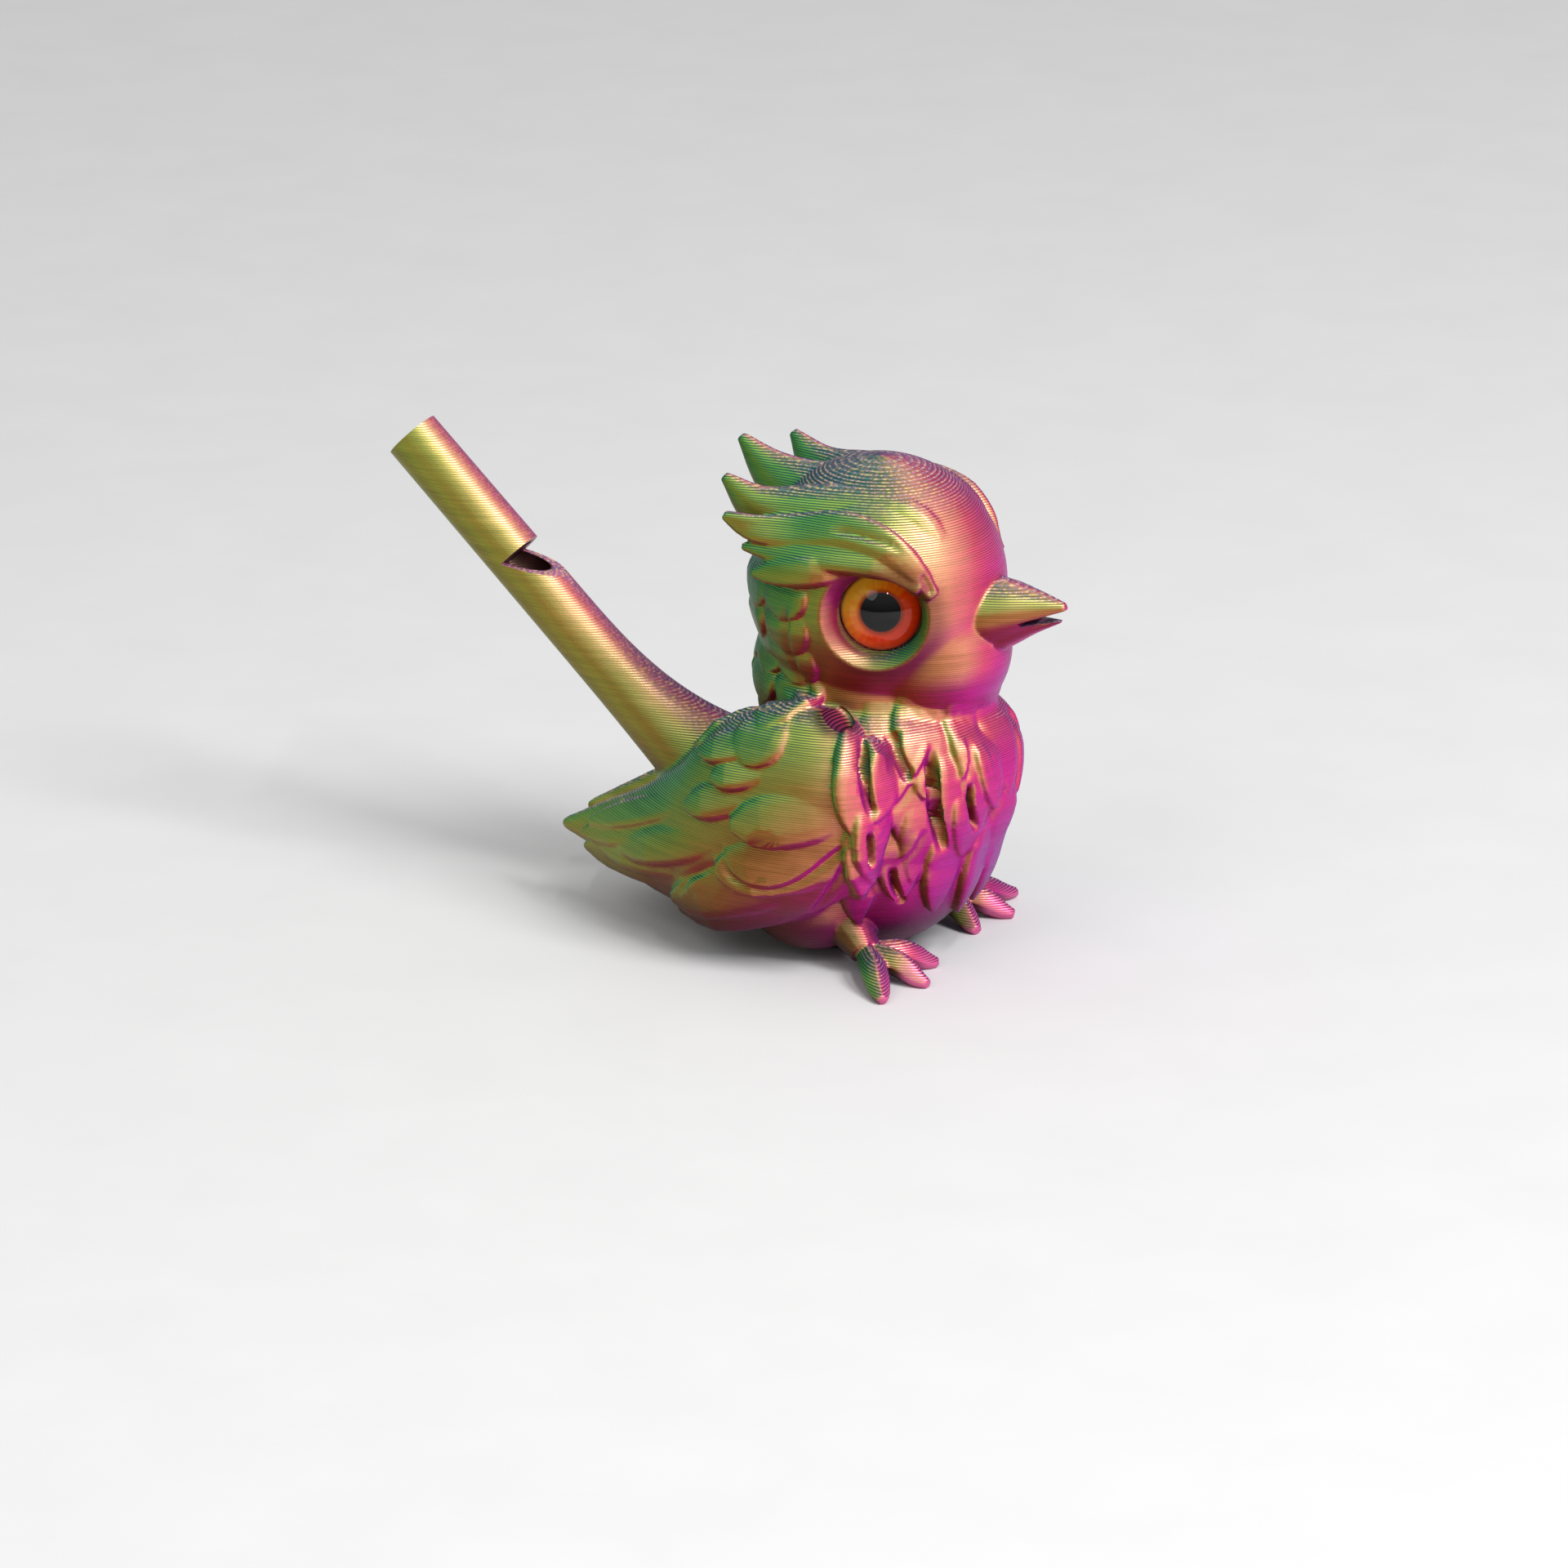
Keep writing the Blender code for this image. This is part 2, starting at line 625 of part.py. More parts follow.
def tube_block(bm, near, far, low, high, width):
    """A box in the tube's own frame."""
    middle = on_tube((near + far) / 2, (low + high) / 2)
    turn = Matrix((Vector((1, 0, 0)), TUBE_ALONG, TUBE_UP)).transposed().to_4x4()
    matrix = Matrix.Translation(middle) @ turn @ Matrix.Diagonal((width, far - near, high - low, 1))
    bmesh.ops.create_cube(bm, size=1, matrix=matrix)


def window_cutter():
    """A wedge with a square face at the end of the windway and a ramp that rises to the tube's top."""
    bm = bmesh.new()
    high = 3 * TUBE_RADIUS
    top = 2 * tube_radius(WINDWAY_LENGTH + WINDOW_LENGTH) - TUBE_RADIUS
    slope = (top - WINDOW_FLOOR) / WINDOW_LENGTH
    far = WINDWAY_LENGTH + (high - WINDOW_FLOOR) / slope
    tube_block(bm, WINDWAY_LENGTH, far, WINDOW_FLOOR, high, 2 * TUBE_DIAMETER)
    ramp = (TUBE_UP - TUBE_ALONG * slope).normalized()
    everything = [*bm.verts, *bm.edges, *bm.faces]
    made = bmesh.ops.bisect_plane(
        bm, geom=everything, plane_co=on_tube(WINDWAY_LENGTH, WINDOW_FLOOR), plane_no=ramp, clear_inner=True
    )
    rim = [e for e in made["geom_cut"] if isinstance(e, bmesh.types.BMEdge)]
    bmesh.ops.contextual_create(bm, geom=rim)
    return object_of("cut_window", bm)


def windway_cutter():
    """The flat slot that leads the breath along the tube's roof."""
    bm = bmesh.new()
    roof = TUBE_BORE / 2
    tube_block(bm, -OVERCUT, WINDWAY_LENGTH + OVERCUT, roof - WINDWAY_HEIGHT, roof, WINDWAY_WIDTH)
    return object_of("cut_windway", bm)


def end_cutter():
    """Squares off the mouth end of the tube."""
    bm = bmesh.new()
    tube_block(bm, -4 * OVERCUT, 0, -TUBE_DIAMETER, TUBE_DIAMETER, 2 * TUBE_DIAMETER)
    return object_of("cut_tube_end", bm)


def bore_cutter():
    """The round bore from the end of the windway down into the breast."""
    bm = bmesh.new()
    middle = on_tube((WINDWAY_LENGTH + BORE_END) / 2)
    matrix = Matrix.Translation(middle) @ TUBE_ALONG.to_track_quat("Z", "X").to_matrix().to_4x4()
    bmesh.ops.create_cone(
        bm,
        cap_ends=True,
        segments=32,
        radius1=TUBE_BORE / 2,
        radius2=TUBE_BORE / 2,
        depth=BORE_END - WINDWAY_LENGTH,
        matrix=matrix,
    )
    return object_of("cut_bore", bm)


def chamber_cutter():
    """The hollow in the breast that holds the water."""
    bm = bmesh.new()
    size = (CHAMBER_WIDTH, CHAMBER_LENGTH, CHAMBER_HEIGHT)
    matrix = Matrix.Translation((0, CHAMBER_BACK, CHAMBER_LEVEL)) @ Matrix.Diagonal((*size, 1))
    bmesh.ops.create_icosphere(bm, subdivisions=3, radius=0.5, matrix=matrix)
    return object_of("cut_chamber", bm)


def mouth_cutter():
    """A wedge that parts the halves of the beak, widest at the tip and dipping towards its inner end."""
    bm = bmesh.new()
    reach = MOUTH_DEPTH + 2 * OVERCUT
    bmesh.ops.create_cube(bm, size=1, matrix=Matrix.Diagonal((4 * BEAK_WIDTH, reach, BEAK_GAPE, 1)))
    for v in bm.verts:
        v.co.z *= 0.3 if v.co.y > 0 else 1
        v.co.y += MOUTH_DEPTH - reach / 2
    tip = Matrix.Translation((0, BEAK_TIP, MOUTH_LEVEL)) @ Matrix.Rotation(-MOUTH_DROP, 4, "X")
    bmesh.ops.transform(bm, matrix=tip, verts=bm.verts)
    return object_of("cut_mouth", bm)


def socket_cutter(side):
    """The straight round seat that the disc and the dome stand in."""
    bm = bmesh.new()
    radius = EYE_DIAMETER / 2 + SOCKET_CLEARANCE
    depth = 3 * SOCKET_DEPTH
    matrix = eye_frame(side) @ Matrix.Translation((0, 0, depth / 2))
    bmesh.ops.create_cone(
        bm, cap_ends=True, segments=32, radius1=radius, radius2=radius, depth=depth, matrix=matrix
    )
    return object_of("cut_socket", bm)


def iris(side, name, material):
    """The disc behind the glass, with the coloured iris and the black pupil on its face."""
    bm = bmesh.new()
    matrix = eye_frame(side) @ Matrix.Translation((0, 0, GLUE_LINE + EYE_DISC / 2))
    radius = EYE_DIAMETER / 2
    bmesh.ops.create_cone(
        bm, cap_ends=True, segments=32, radius1=radius, radius2=radius, depth=EYE_DISC, matrix=matrix
    )
    return object_of(name, bm, material)


def glass(side, name, material):
    """The clear cabochon: flat at the back, a short straight girdle and a low dome."""
    bm = bmesh.new()
    radius = EYE_DIAMETER / 2
    rise = EYE_DOME - EYE_GIRDLE
    curve = (radius**2 + rise**2) / (2 * rise)
    spread = math.asin(radius / curve)
    outline = [(0, 0), (radius, 0)]
    for i in range(7):
        turn = spread * (1 - i / 6)
        outline.append((curve * math.sin(turn), EYE_DOME - curve * (1 - math.cos(turn))))
    path = [bm.verts.new((r, 0, z)) for r, z in outline]
    edges = [bm.edges.new(pair) for pair in zip(path, path[1:])]
    bmesh.ops.spin(bm, geom=[*path, *edges], axis=(0, 0, 1), angle=math.tau, steps=32, use_merge=True)
    bmesh.ops.remove_doubles(bm, verts=bm.verts, dist=0.01 * MM)
    base = GLUE_LINE + EYE_DISC + GLUE_LINE
    bmesh.ops.transform(bm, matrix=eye_frame(side) @ Matrix.Translation((0, 0, base)), verts=bm.verts)
    return object_of(name, bm, material)


clear_scene()
silk = plastic("silk_print", (0.62, 0.50, 0.20), 0.35, 0.3)
painted = plastic("iris_paint", (0.75, 0.25, 0.04), 0.4)
clear = plastic("clear_glass", (0.95, 0.97, 0.98), 0.03)
printed_body(silk)
for side, word in ((-1, "right"), (1, "left")):
    iris(side, f"{word}_iris_disc", painted).data.shade_smooth()
    glass(side, f"{word}_eye_dome", clear).data.shade_smooth()
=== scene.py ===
"""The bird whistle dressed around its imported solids. Metres, +Z up; the bird looks along -Y."""

import math

import bmesh
import bpy
import numpy as np
from mathutils import Matrix, Vector
from mathutils.bvhtree import BVHTree


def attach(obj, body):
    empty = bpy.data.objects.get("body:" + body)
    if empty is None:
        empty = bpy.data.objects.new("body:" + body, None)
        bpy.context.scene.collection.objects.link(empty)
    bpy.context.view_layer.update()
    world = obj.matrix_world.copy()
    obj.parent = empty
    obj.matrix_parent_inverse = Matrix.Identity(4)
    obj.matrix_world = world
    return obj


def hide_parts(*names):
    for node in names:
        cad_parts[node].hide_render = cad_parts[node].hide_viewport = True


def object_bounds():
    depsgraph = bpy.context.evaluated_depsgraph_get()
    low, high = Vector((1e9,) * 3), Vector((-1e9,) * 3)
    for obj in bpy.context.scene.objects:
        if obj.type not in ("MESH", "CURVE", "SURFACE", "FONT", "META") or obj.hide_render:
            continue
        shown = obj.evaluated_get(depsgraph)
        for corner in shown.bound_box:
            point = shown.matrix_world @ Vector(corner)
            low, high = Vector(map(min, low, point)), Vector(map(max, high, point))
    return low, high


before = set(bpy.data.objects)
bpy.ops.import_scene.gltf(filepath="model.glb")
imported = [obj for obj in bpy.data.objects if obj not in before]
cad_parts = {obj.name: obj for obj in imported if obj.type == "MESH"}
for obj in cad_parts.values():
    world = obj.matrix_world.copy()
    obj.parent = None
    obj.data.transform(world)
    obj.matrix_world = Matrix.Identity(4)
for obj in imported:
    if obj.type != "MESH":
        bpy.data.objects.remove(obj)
cad_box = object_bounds()
mm = 0.001


# Head, throat, neck, breast, belly, rump and wings: the plain masses that the whole bird grows
# from. The real one is printed in one piece from silk filament, so they are melted into one smooth
# skin, with a shallow dish and a round lip pressed in for each eye, and every feather is laid on it.
def mass(bm, place, size, tip=0.0):
    """An egg of that full size in millimetres, tipped about X by tip degrees."""
    matrix = Matrix.Translation(Vector(place) * mm) @ Matrix.Rotation(math.radians(tip), 4, "X")
    matrix = matrix @ Matrix.Diagonal((*(Vector(size) * mm), 1))
    bmesh.ops.create_icosphere(bm, subdivisions=5, radius=0.5, matrix=matrix)


def run_through(rows, steps=6):
    """A smooth run of rows that passes through the given ones."""
    rows = np.array(rows, float)
    held = np.vstack([2 * rows[0] - rows[1], rows, 2 * rows[-1] - rows[-2]])
    smooth = []
    for a, b, c, d in zip(held, held[1:], held[2:], held[3:]):
        for t in np.arange(steps) / steps:
            bend = (2 * a - 5 * b + 4 * c - d) * t * t + (3 * b - a - 3 * c + d) * t**3
            smooth.append(b + 0.5 * ((c - a) * t + bend))
    return np.array([*smooth, rows[-1]])


def rod(bm, stations, sides=16, square=2.0):
    """A closed rod through stations, each a middle, a half-width vector and a half-thickness vector."""
    last = len(stations) - 1
    sheet = bmesh.ops.create_grid(bm, x_segments=sides, y_segments=last, size=0.5)["verts"]
    for v in sheet:
        turn = math.tau * v.co.x
        middle, across, up = stations[round((v.co.y + 0.5) * last)]
        reach, rise = math.cos(turn), math.sin(turn)
        reach = math.copysign(abs(reach) ** (2 / square), reach)
        rise = math.copysign(abs(rise) ** (2 / square), rise)
        v.co = middle + across * reach + up * rise
    bmesh.ops.remove_doubles(bm, verts=sheet, dist=0.001 * mm)
    ends = {e for v in sheet if v.is_valid for e in v.link_edges if e.is_boundary}
    bmesh.ops.holes_fill(bm, edges=list(ends))


def horn(bm, rows, up, sides=16, square=2.0):
    """A rod through rows of x, y, z, half-width and half-thickness in millimetres."""
    rows = run_through(rows) * mm
    points = [Vector(row[:3]) for row in rows]
    stations = []
    for i, row in enumerate(rows):
        along = points[min(i + 1, len(rows) - 1)] - points[max(i - 1, 0)]
        across = along.cross(Vector(up)).normalized()
        stations.append((points[i], across * row[3], across.cross(along).normalized() * row[4]))
    rod(bm, stations, sides, square)


def shown(name, bm):
    """A named object that takes over the bmesh, with its faces pointing out."""
    bmesh.ops.recalc_face_normals(bm, faces=bm.faces)
    mesh = bpy.data.meshes.new(name)
    bm.to_mesh(mesh)
    bm.free()
    piece = bpy.data.objects.new(name, mesh)
    bpy.context.scene.collection.objects.link(piece)
    return piece


def settled(piece):
    """Applies the piece's modifiers to its own mesh."""
    graph = bpy.context.evaluated_depsgraph_get()
    mesh = bpy.data.meshes.new_from_object(piece.evaluated_get(graph))
    piece.modifiers.clear()
    piece.data = mesh
    return piece


def melted(name, bm, voxel, softening):
    """Everything in the bmesh as one closed skin."""
    piece = shown(name, bm)
    melt = piece.modifiers.new("Melt", "REMESH")
    melt.mode = "VOXEL"
    melt.voxel_size = voxel * mm
    soften = piece.modifiers.new("Soften", "SMOOTH")
    soften.factor = 0.5
    soften.iterations = softening
    return settled(piece)


plain = bmesh.new()
mass(plain, (0, -2.0, 48.2), (31.0, 32.6, 33.0))
mass(plain, (0, -9.0, 41.2), (21.6, 20.6, 22), -18)
mass(plain, (0, 0, 36), (24, 28, 26))
mass(plain, (0, -3.2, 23.5), (30.6, 31.8, 33), 12)
mass(plain, (0, 2.2, 16), (31, 38, 34), -6)
mass(plain, (0, 14, 18), (22, 30, 21), -14)
mass(plain, (0, 23, 12.6), (13, 24, 7), -6)
for side in (-1, 1):
    mass(plain, (side * 10, 3.5, 8.2), (11, 17, 13.5))
    wing = [
        (side * 13.05, -9.0, 26.5, 4.6, 2.6),
        (side * 15.0, -3.5, 25.0, 11.3, 5.3),
        (side * 15.3, 5.5, 20.8, 13.5, 5.75),
        (side * 13.5, 14.5, 16.0, 11.3, 5.2),
        (side * 9.9, 23.5, 13.4, 7.8, 3.8),
        (side * 6.3, 32.0, 12.2, 4.3, 2.3),
        (side * 3.6, 41.0, 10.9, 0.7, 0.7),
    ]
    horn(plain, wing, (side, 0, 0.12), sides=28)
skin = melted("plain_skin", plain, 0.4, 22)
faces = [p.vertices for p in skin.data.polygons]
surface = BVHTree.FromPolygons([v.co for v in skin.data.vertices], faces)


eye_radius, eye_turn, seat_depth = 5, 18, 3.2


def eye_frame(side):
    """A frame at the middle of the eye's seat, with +Z looking out of the head."""
    look = Vector((side * math.cos(math.radians(eye_turn)), -math.sin(math.radians(eye_turn)), 0))
    seat = Vector((side * 13.1, -7.6, 47.9)) * mm - look * seat_depth * mm
    return Matrix.Translation(seat) @ look.to_track_quat("Z", "Y").to_matrix().to_4x4()


for side in (-1, 1):
    outward = eye_frame(side)
    inward = outward.inverted()
    dish = inward.to_3x3() @ Vector((0, -0.9, -0.9))
    lip = inward.to_3x3() @ Vector((0, 0.6, -0.6))
    dish_radius, lip_radius = 8.8, 7.4
    for v in skin.data.vertices:
        local = inward @ v.co / mm
        share = math.hypot(local.x - dish.x, local.y - dish.y) / dish_radius
        if local.z < 0 or share > 1:
            continue
        level = 2.75 + 1.5 * share**3
        if local.z > level:
            local.z += (level - local.z) * min(1.0, (1 - share) * 4)
        reach = math.hypot(local.x - lip.x, local.y - lip.y)
        if reach < lip_radius:
            rise = max(0.0, reach - eye_radius) / (lip_radius - eye_radius)
            local.z = min(local.z, 0.9 + 2.5 * rise**0.6)
        v.co = outward @ (local * mm)

bird = bmesh.new()
bird.from_mesh(skin.data)
bpy.data.objects.remove(skin)


# Scales down the back of the head and neck: broad soft leaves of the same print, each tucked
# under the one above and standing a few tenths of a millimetre proud at its lower edge.
def leaf(bm, points, width, lift=1.0, roll=0.0, blunt=2.0, root=0.7, snap=True, fade=0.45):
    """A feather on the skin through those points. Its face rises out of the skin at its root and
    stands lift over it at its tip; roll raises the edge on the left of its way."""
    path = []
    for point in run_through(points, 4):
        near, normal = surface.find_nearest(Vector(point) * mm)[:2]
        path.append((near if snap else Vector(point) * mm, normal))
    stations = []
    for i, (point, normal) in enumerate(path):
        t = i / (len(path) - 1)
        along = path[min(i + 1, len(path) - 1)][0] - path[max(i - 1, 0)][0]
        along = along.normalized()
        normal = (normal - along * normal.dot(along)).normalized()
        breadth = root + (1 - root) * math.sin(math.pi * t)
        if t > 0.5:
            breadth = max(0.05, 1 - (2 * t - 1) ** blunt) ** (1 / blunt)
        face = (lift + 0.25) * min(1.0, t / fade) ** 1.5 - 0.25
        body = 1.3 * (1 - 0.45 * t**3)
        turn = Matrix.Rotation(math.radians(roll) * min(1.0, t / fade), 3, along)
        across = turn @ along.cross(normal)
        middle = point + normal * (face - body) * mm
        stations.append((middle, across * breadth * width / 2 * mm, turn @ normal * body * mm))
    rod(bm, stations, 16, 3.2)


def met_from(start, way):
    """Where the skin is last met on the way out from a point, in millimetres."""
    way = Vector(way).normalized()
    hit = surface.ray_cast((Vector(start) + way * 90) * mm, -way)[0]
    return hit / mm


def out_from(level, turn):
    """Where the skin is met at that height, that many degrees round from the beak."""
    return met_from((0, 0, level), (math.sin(math.radians(turn)), -math.cos(math.radians(turn)), 0))


for number, level in enumerate((33.0, 37.5, 42.0, 46.5, 51.0)):
    count = 5 if number % 2 else 6  # each scale stands over a joint of the row below
    for i in range(count):
        turn = 180 + 70 * (2 * i / (count - 1) - 1)
        rows = [out_from(level - drop, turn) for drop in (-2.0, 1.4, 4.8)]
        leaf(bird, rows, 8.0, lift=0.6, blunt=2.2)


# Long pointed feathers that hang from the neck over the breast, in staggered rows with deep
# slots between their tips. A stroke, pressed in once all is melted, is a run of points on the
# bird's right, how far the skin goes out on the left and right of its way, and how far that reaches.
hanging_rows = (
    # height of the roots, number of feathers, degrees to each side of the beak
    (21.52, 8, 66),
    (27.0, 7, 62),
    (32.51, 8, 66),
    (35.4, 7, 58),
)
feather_length, feather_width = 13, 6.7
for number, (level, count, spread) in enumerate(hanging_rows):
    for i in range(count):
        share = 2 * i / (count - 1) - 1
        grow = 1 + 0.16 * math.sin(number * 2.1 + abs(share) * 7)
        turn = spread * share
        rows = []
        for drop in (-0.15, 0.23, 0.62, 1.0):
            rows.append(out_from(level - feather_length * drop * grow, turn * (1 + 0.08 * drop)))
        width, roll = feather_width * (2 - grow), 12 * math.copysign(1, share)
        leaf(bird, rows, width, lift=1.15, roll=roll, blunt=1.6, root=0.8)
strokes = [
    (
        ((-15.0, -6.1, 32.6), (-18.4, -7.9, 29.0), (-19.0, -8.9, 25.4), (-18.4, -9.6, 23.7)),
        -1.6, -1.6, 0.9,
    ),
    (((-12.2, -9.4, 33.0), (-13.4, -10.6, 30.0), (-13.8, -12.4, 26.9)), -2.2, -2.2, 1.0),
    (
        ((-11.1, -14.2, 30.8), (-12.0, -14.5, 27.1), (-11.7, -14.7, 22.7), (-10.1, -15.3, 16.8)),
        -2.6, -2.6, 1.0,
    ),
    (((-8.2, -18.0, 26.0), (-8.0, -18.2, 22.5), (-6.2, -18.4, 18.7)), -1.8, -1.8, 0.8),
    (((-19.5, -9.3, 21.8), (-19.0, -9.4, 18.9), (-18.5, -9.3, 16.4)), -1.6, -1.6, 0.8),
    (((-13.9, -9.9, 15.3), (-13.0, -9.9, 12.4), (-10.2, -9.7, 9.3)), -1.6, -1.6, 0.8),
    (
        ((-10.9, -13.9, 31.7), (-11.7, -13.9, 30.4), (-13.4, -12.6, 27.6), (-15.0, -11.3, 24.8),
         (-17.6, -10.4, 23.2), (-19.4, -9.0, 22.5)),
        -0.5, 0.4, 1.5,
    ),
    (((-7.0, -17.0, 31.7), (-7.9, -17.8, 28.6), (-9.5, -17.4, 25.9)), -0.5, 0.4, 1.5),
    (((-13.0, -13.7, 20.6), (-13.1, -12.3, 17.8), (-13.6, -10.4, 15.7)), -0.4, 0.4, 1.4),
    (((-4.6, -18.5, 30.0), (-3.8, -20.0, 24.9), (-2.4, -19.4, 20.7)), -0.4, 0.3, 1.4),
]


# Wing feathers: long flight feathers to the tail, broad rounded leaves over them, and small
# coverts up to the bare shoulder. Each stands proud along its lower edge.
for side in (-1, 1):
    feathers = (
        # y and z of the root, y and z of the tip, and the width
        (20, 9, 36, 9.6, 4.6),
        (15.2, 12.4, 32.8, 10.5, 4.6),
        (15.2, 18.6, 36, 11.3, 4.6),
        (14, 23, 34.8, 13, 4.3),
        (-0.8, 9.5, 18.9, 6.5, 7.0),
        (0, 13.5, 19.5, 7.8, 7.0),
        (8.2, 19.4, 28.7, 11.6, 5.4),
        (-7.4, 18.9, 11.5, 13.8, 8.6),
        (5.3, 25.6, 16.4, 21.2, 5.0),
        (-8.2, 25.1, 9.0, 20.5, 7.6),
        (3.5, 28.9, 12.5, 25.6, 4.45),
        (4.9, 32.4, 15.0, 28.1, 4.9),
    )
    for y, z, tip_y, tip_z, width in feathers:
        rows = []
        for t in (0, 0.5, 1):
            rows.append(met_from((0, y + (tip_y - y) * t, z + (tip_z - z) * t), (side, 0, 0)))
        leaf(bird, rows, width, lift=1.0, roll=-side * 13, blunt=2.3, fade=0.75)
strokes += [
    (
        ((-20.2, 10.8, 17.7), (-21.0, 9.0, 14.1), (-21.6, 4.3, 13.0), (-21.4, -0.1, 14.7),
         (-20.5, -4.5, 18.6), (-20.1, -8.7, 22.2)),
        0.1, -0.6, 1.6,
    ),
    (((-16.8, 18.3, 8.4), (-18.5, 15.0, 12.0), (-20.4, 10.8, 14.5)), -0.4, 0.1, 1.6),
    (
        ((-17.9, -0.2, 9.3), (-19.5, -3.2, 13.0), (-19.7, -5.8, 17.4), (-20.1, -8.4, 21.1)),
        0.2, -0.6, 1.6,
    ),
]


# The swept crest: three horns that run back from a flat patch on the crown, and on each side
# a brow plate and two lower plates that start in front of the eye.
def on_head(side, x, y, z):
    """A point in shares of the head's half width, half length and half height, in millimetres."""
    return (side * x * 15.5, y * 16.3 - 2.0, z * 16.5 + 48.2)


crown = (
    (*on_head(1, 0, -0.55, 0.30), 4.5, 4.5),
    (*on_head(1, 0, -0.245, 0.515), 6.0, 6.2),
    (*on_head(1, 0, 0.429, 0.515), 5.2, 6.6),
    (*on_head(1, 0, 0.871, 0.733), 2.6, 3.4),
    (0, 17.2, 64.9, 0.6, 0.6),
)
horn(bird, crown, (0, 0.2, 1), 24)
for side in (-1, 1):
    flank = (
        (*on_head(side, 0.30, -0.62, 0.22), 3.4, 4.4),
        (*on_head(side, 0.345, -0.307, 0.455), 4.3, 6.3),
        (*on_head(side, 0.477, 0.307, 0.509), 4.2, 6.0),
        (*on_head(side, 0.606, 0.736, 0.642), 2.5, 3.4),
        (*on_head(side, 0.69, 1.025, 0.888), 0.6, 0.6),
    )
    horn(bird, flank, (side * 0.25, 0.2, 1), 24)
    brow = (
        (0.735, -0.767, 0.158),
        (0.806, -0.607, 0.390),
        (0.819, -0.344, 0.555),
        (0.820, 0.0, 0.620),
        (0.826, 0.368, 0.560),
        (0.865, 0.675, 0.555),
        (0.877, 0.933, 0.640),
    )
    middle = (
        (0.830, -0.675, 0.230),
        (0.885, -0.399, 0.390),
        (0.910, -0.061, 0.436),
        (0.918, 0.276, 0.410),
        (0.880, 0.773, 0.405),
    )
    lower = (
        (0.920, -0.123, 0.335),
        (0.952, 0.258, 0.290),
        (0.900, 0.663, 0.215),
    )
    on_the_cheek = ((brow, 4.8, 1.2, -9), (middle, 4.3, 0.9, 4), (lower, 4.1, 1.45, -6))
    for points, width, lift, roll in on_the_cheek:
        rows = [on_head(side, *point) for point in points]
        leaf(bird, rows, width, lift=lift, roll=-side * roll, root=0.4, snap=False, fade=0.3)
strokes += [
    (
        ((-15.0, 4.2, 48.3), (-14.7, 4.1, 45.3), (-13.4, 3.8, 41.1), (-12.6, 2.6, 37.7),
         (-13.1, 0.5, 35.8)),
        0.4, -0.6, 1.9,
    ),
    (
        ((-14.0, -1.2, 58.3), (-14.0, -4.4, 58.2), (-13.8, -7.7, 57.6), (-13.1, -10.7, 56.5)),
        -0.4, 0.1, 1.5,
    ),
    (((-12.2, -12.8, 53.9), (-11.7, -13.5, 52.4), (-11.4, -14.0, 50.9)), -0.35, -0.35, 1.0),
]


# The beak: a stout cone, rounded where it leaves the face, over a thin lower half. Both are
# printed with the head, and the gap between them is cut once all is melted together.
upper = (
    (0, -12.6, 46.2, 4.4, 4.0),
    (0, -16.4, 46.1, 5.4, 4.5),
    (0, -20.0, 46.7, 4.4, 3.8),
    (0, -24.0, 47.3, 2.4, 2.2),
    (0, -27.4, 47.8, 0.6, 0.6),
)
under = (
    (0, -13.6, 42.6, 3.9, 3.0),
    (0, -18.6, 43.7, 3.4, 2.4),
    (0, -23.0, 45.2, 2.1, 1.3),
    (0, -26.7, 46.4, 0.6, 0.6),
)
horn(bird, upper, (0, 0, 1), 32)
horn(bird, under, (0, 0, 1), 28)


# Short legs with three thick toes each, ridged along the top and square at the tip, printed
# with the body and flat underneath, where they stand on the table.
for side in (-1, 1):
    ankle = Vector((side * 12.2, -5.6, 2.8))
    horn(bird, ((side * 9.5, -1, 7, 3.9, 3.9), (*ankle, 2.5, 2.0)), (0, 1, 0.2))
    for reach, length in ((-7.8, 0.79), (0, 1.0), (7.8, 0.69)):  # inner, middle and outer toe
        tip = Vector((side * (14.2 + reach), -5.6 - 9.4 * length, 0.6))
        knuckle = ankle.lerp(tip, 0.5) + Vector((0, 0, 0.6))
        nail = ankle.lerp(tip, 0.82)
        toe = ((*ankle, 1.5, 1.5), (*knuckle, 1.8, 1.85), (*nail, 1.4, 1.3), (*tip, 0.7, 0.65))
        horn(bird, toe, (0, 0, 1), square=1.45)


# The blowing tube, which is also the tail: round and straight, then flared on its top side
# into the bird's back.
tube_width, bore_width, windway_length, window_length = 7.3, 5.4, 20.5, 6.1
flare_start, flare_length, flare_height = 30, 22.5, 1.8
tube_mouth = Vector((0, 63.7, 59.5)) * mm
tube_along = Vector((0, -1, -1)).normalized()
tube_up = Vector((0, -1, 1)).normalized()


def on_tube(distance, height=0.0):
    """A point that far from the blowing end and that high over the tube's axis, in millimetres."""
    return tube_mouth + (tube_along * distance + tube_up * height) * mm


def tube_radius(distance):
    """Half the tube's width that far from the blowing end, in millimetres."""
    flare = max(0.0, distance - flare_start) / flare_length
    return tube_width / 2 + 0.004 * distance + flare_height * flare**2.8


stations = []
for distance in np.linspace(-1.5, 58, 40):
    radius = tube_radius(distance)
    middle = on_tube(distance, radius - tube_width / 2)
    stations.append((middle, Vector((radius * mm, 0, 0)), tube_up * radius * mm))
rod(bird, stations, 48)


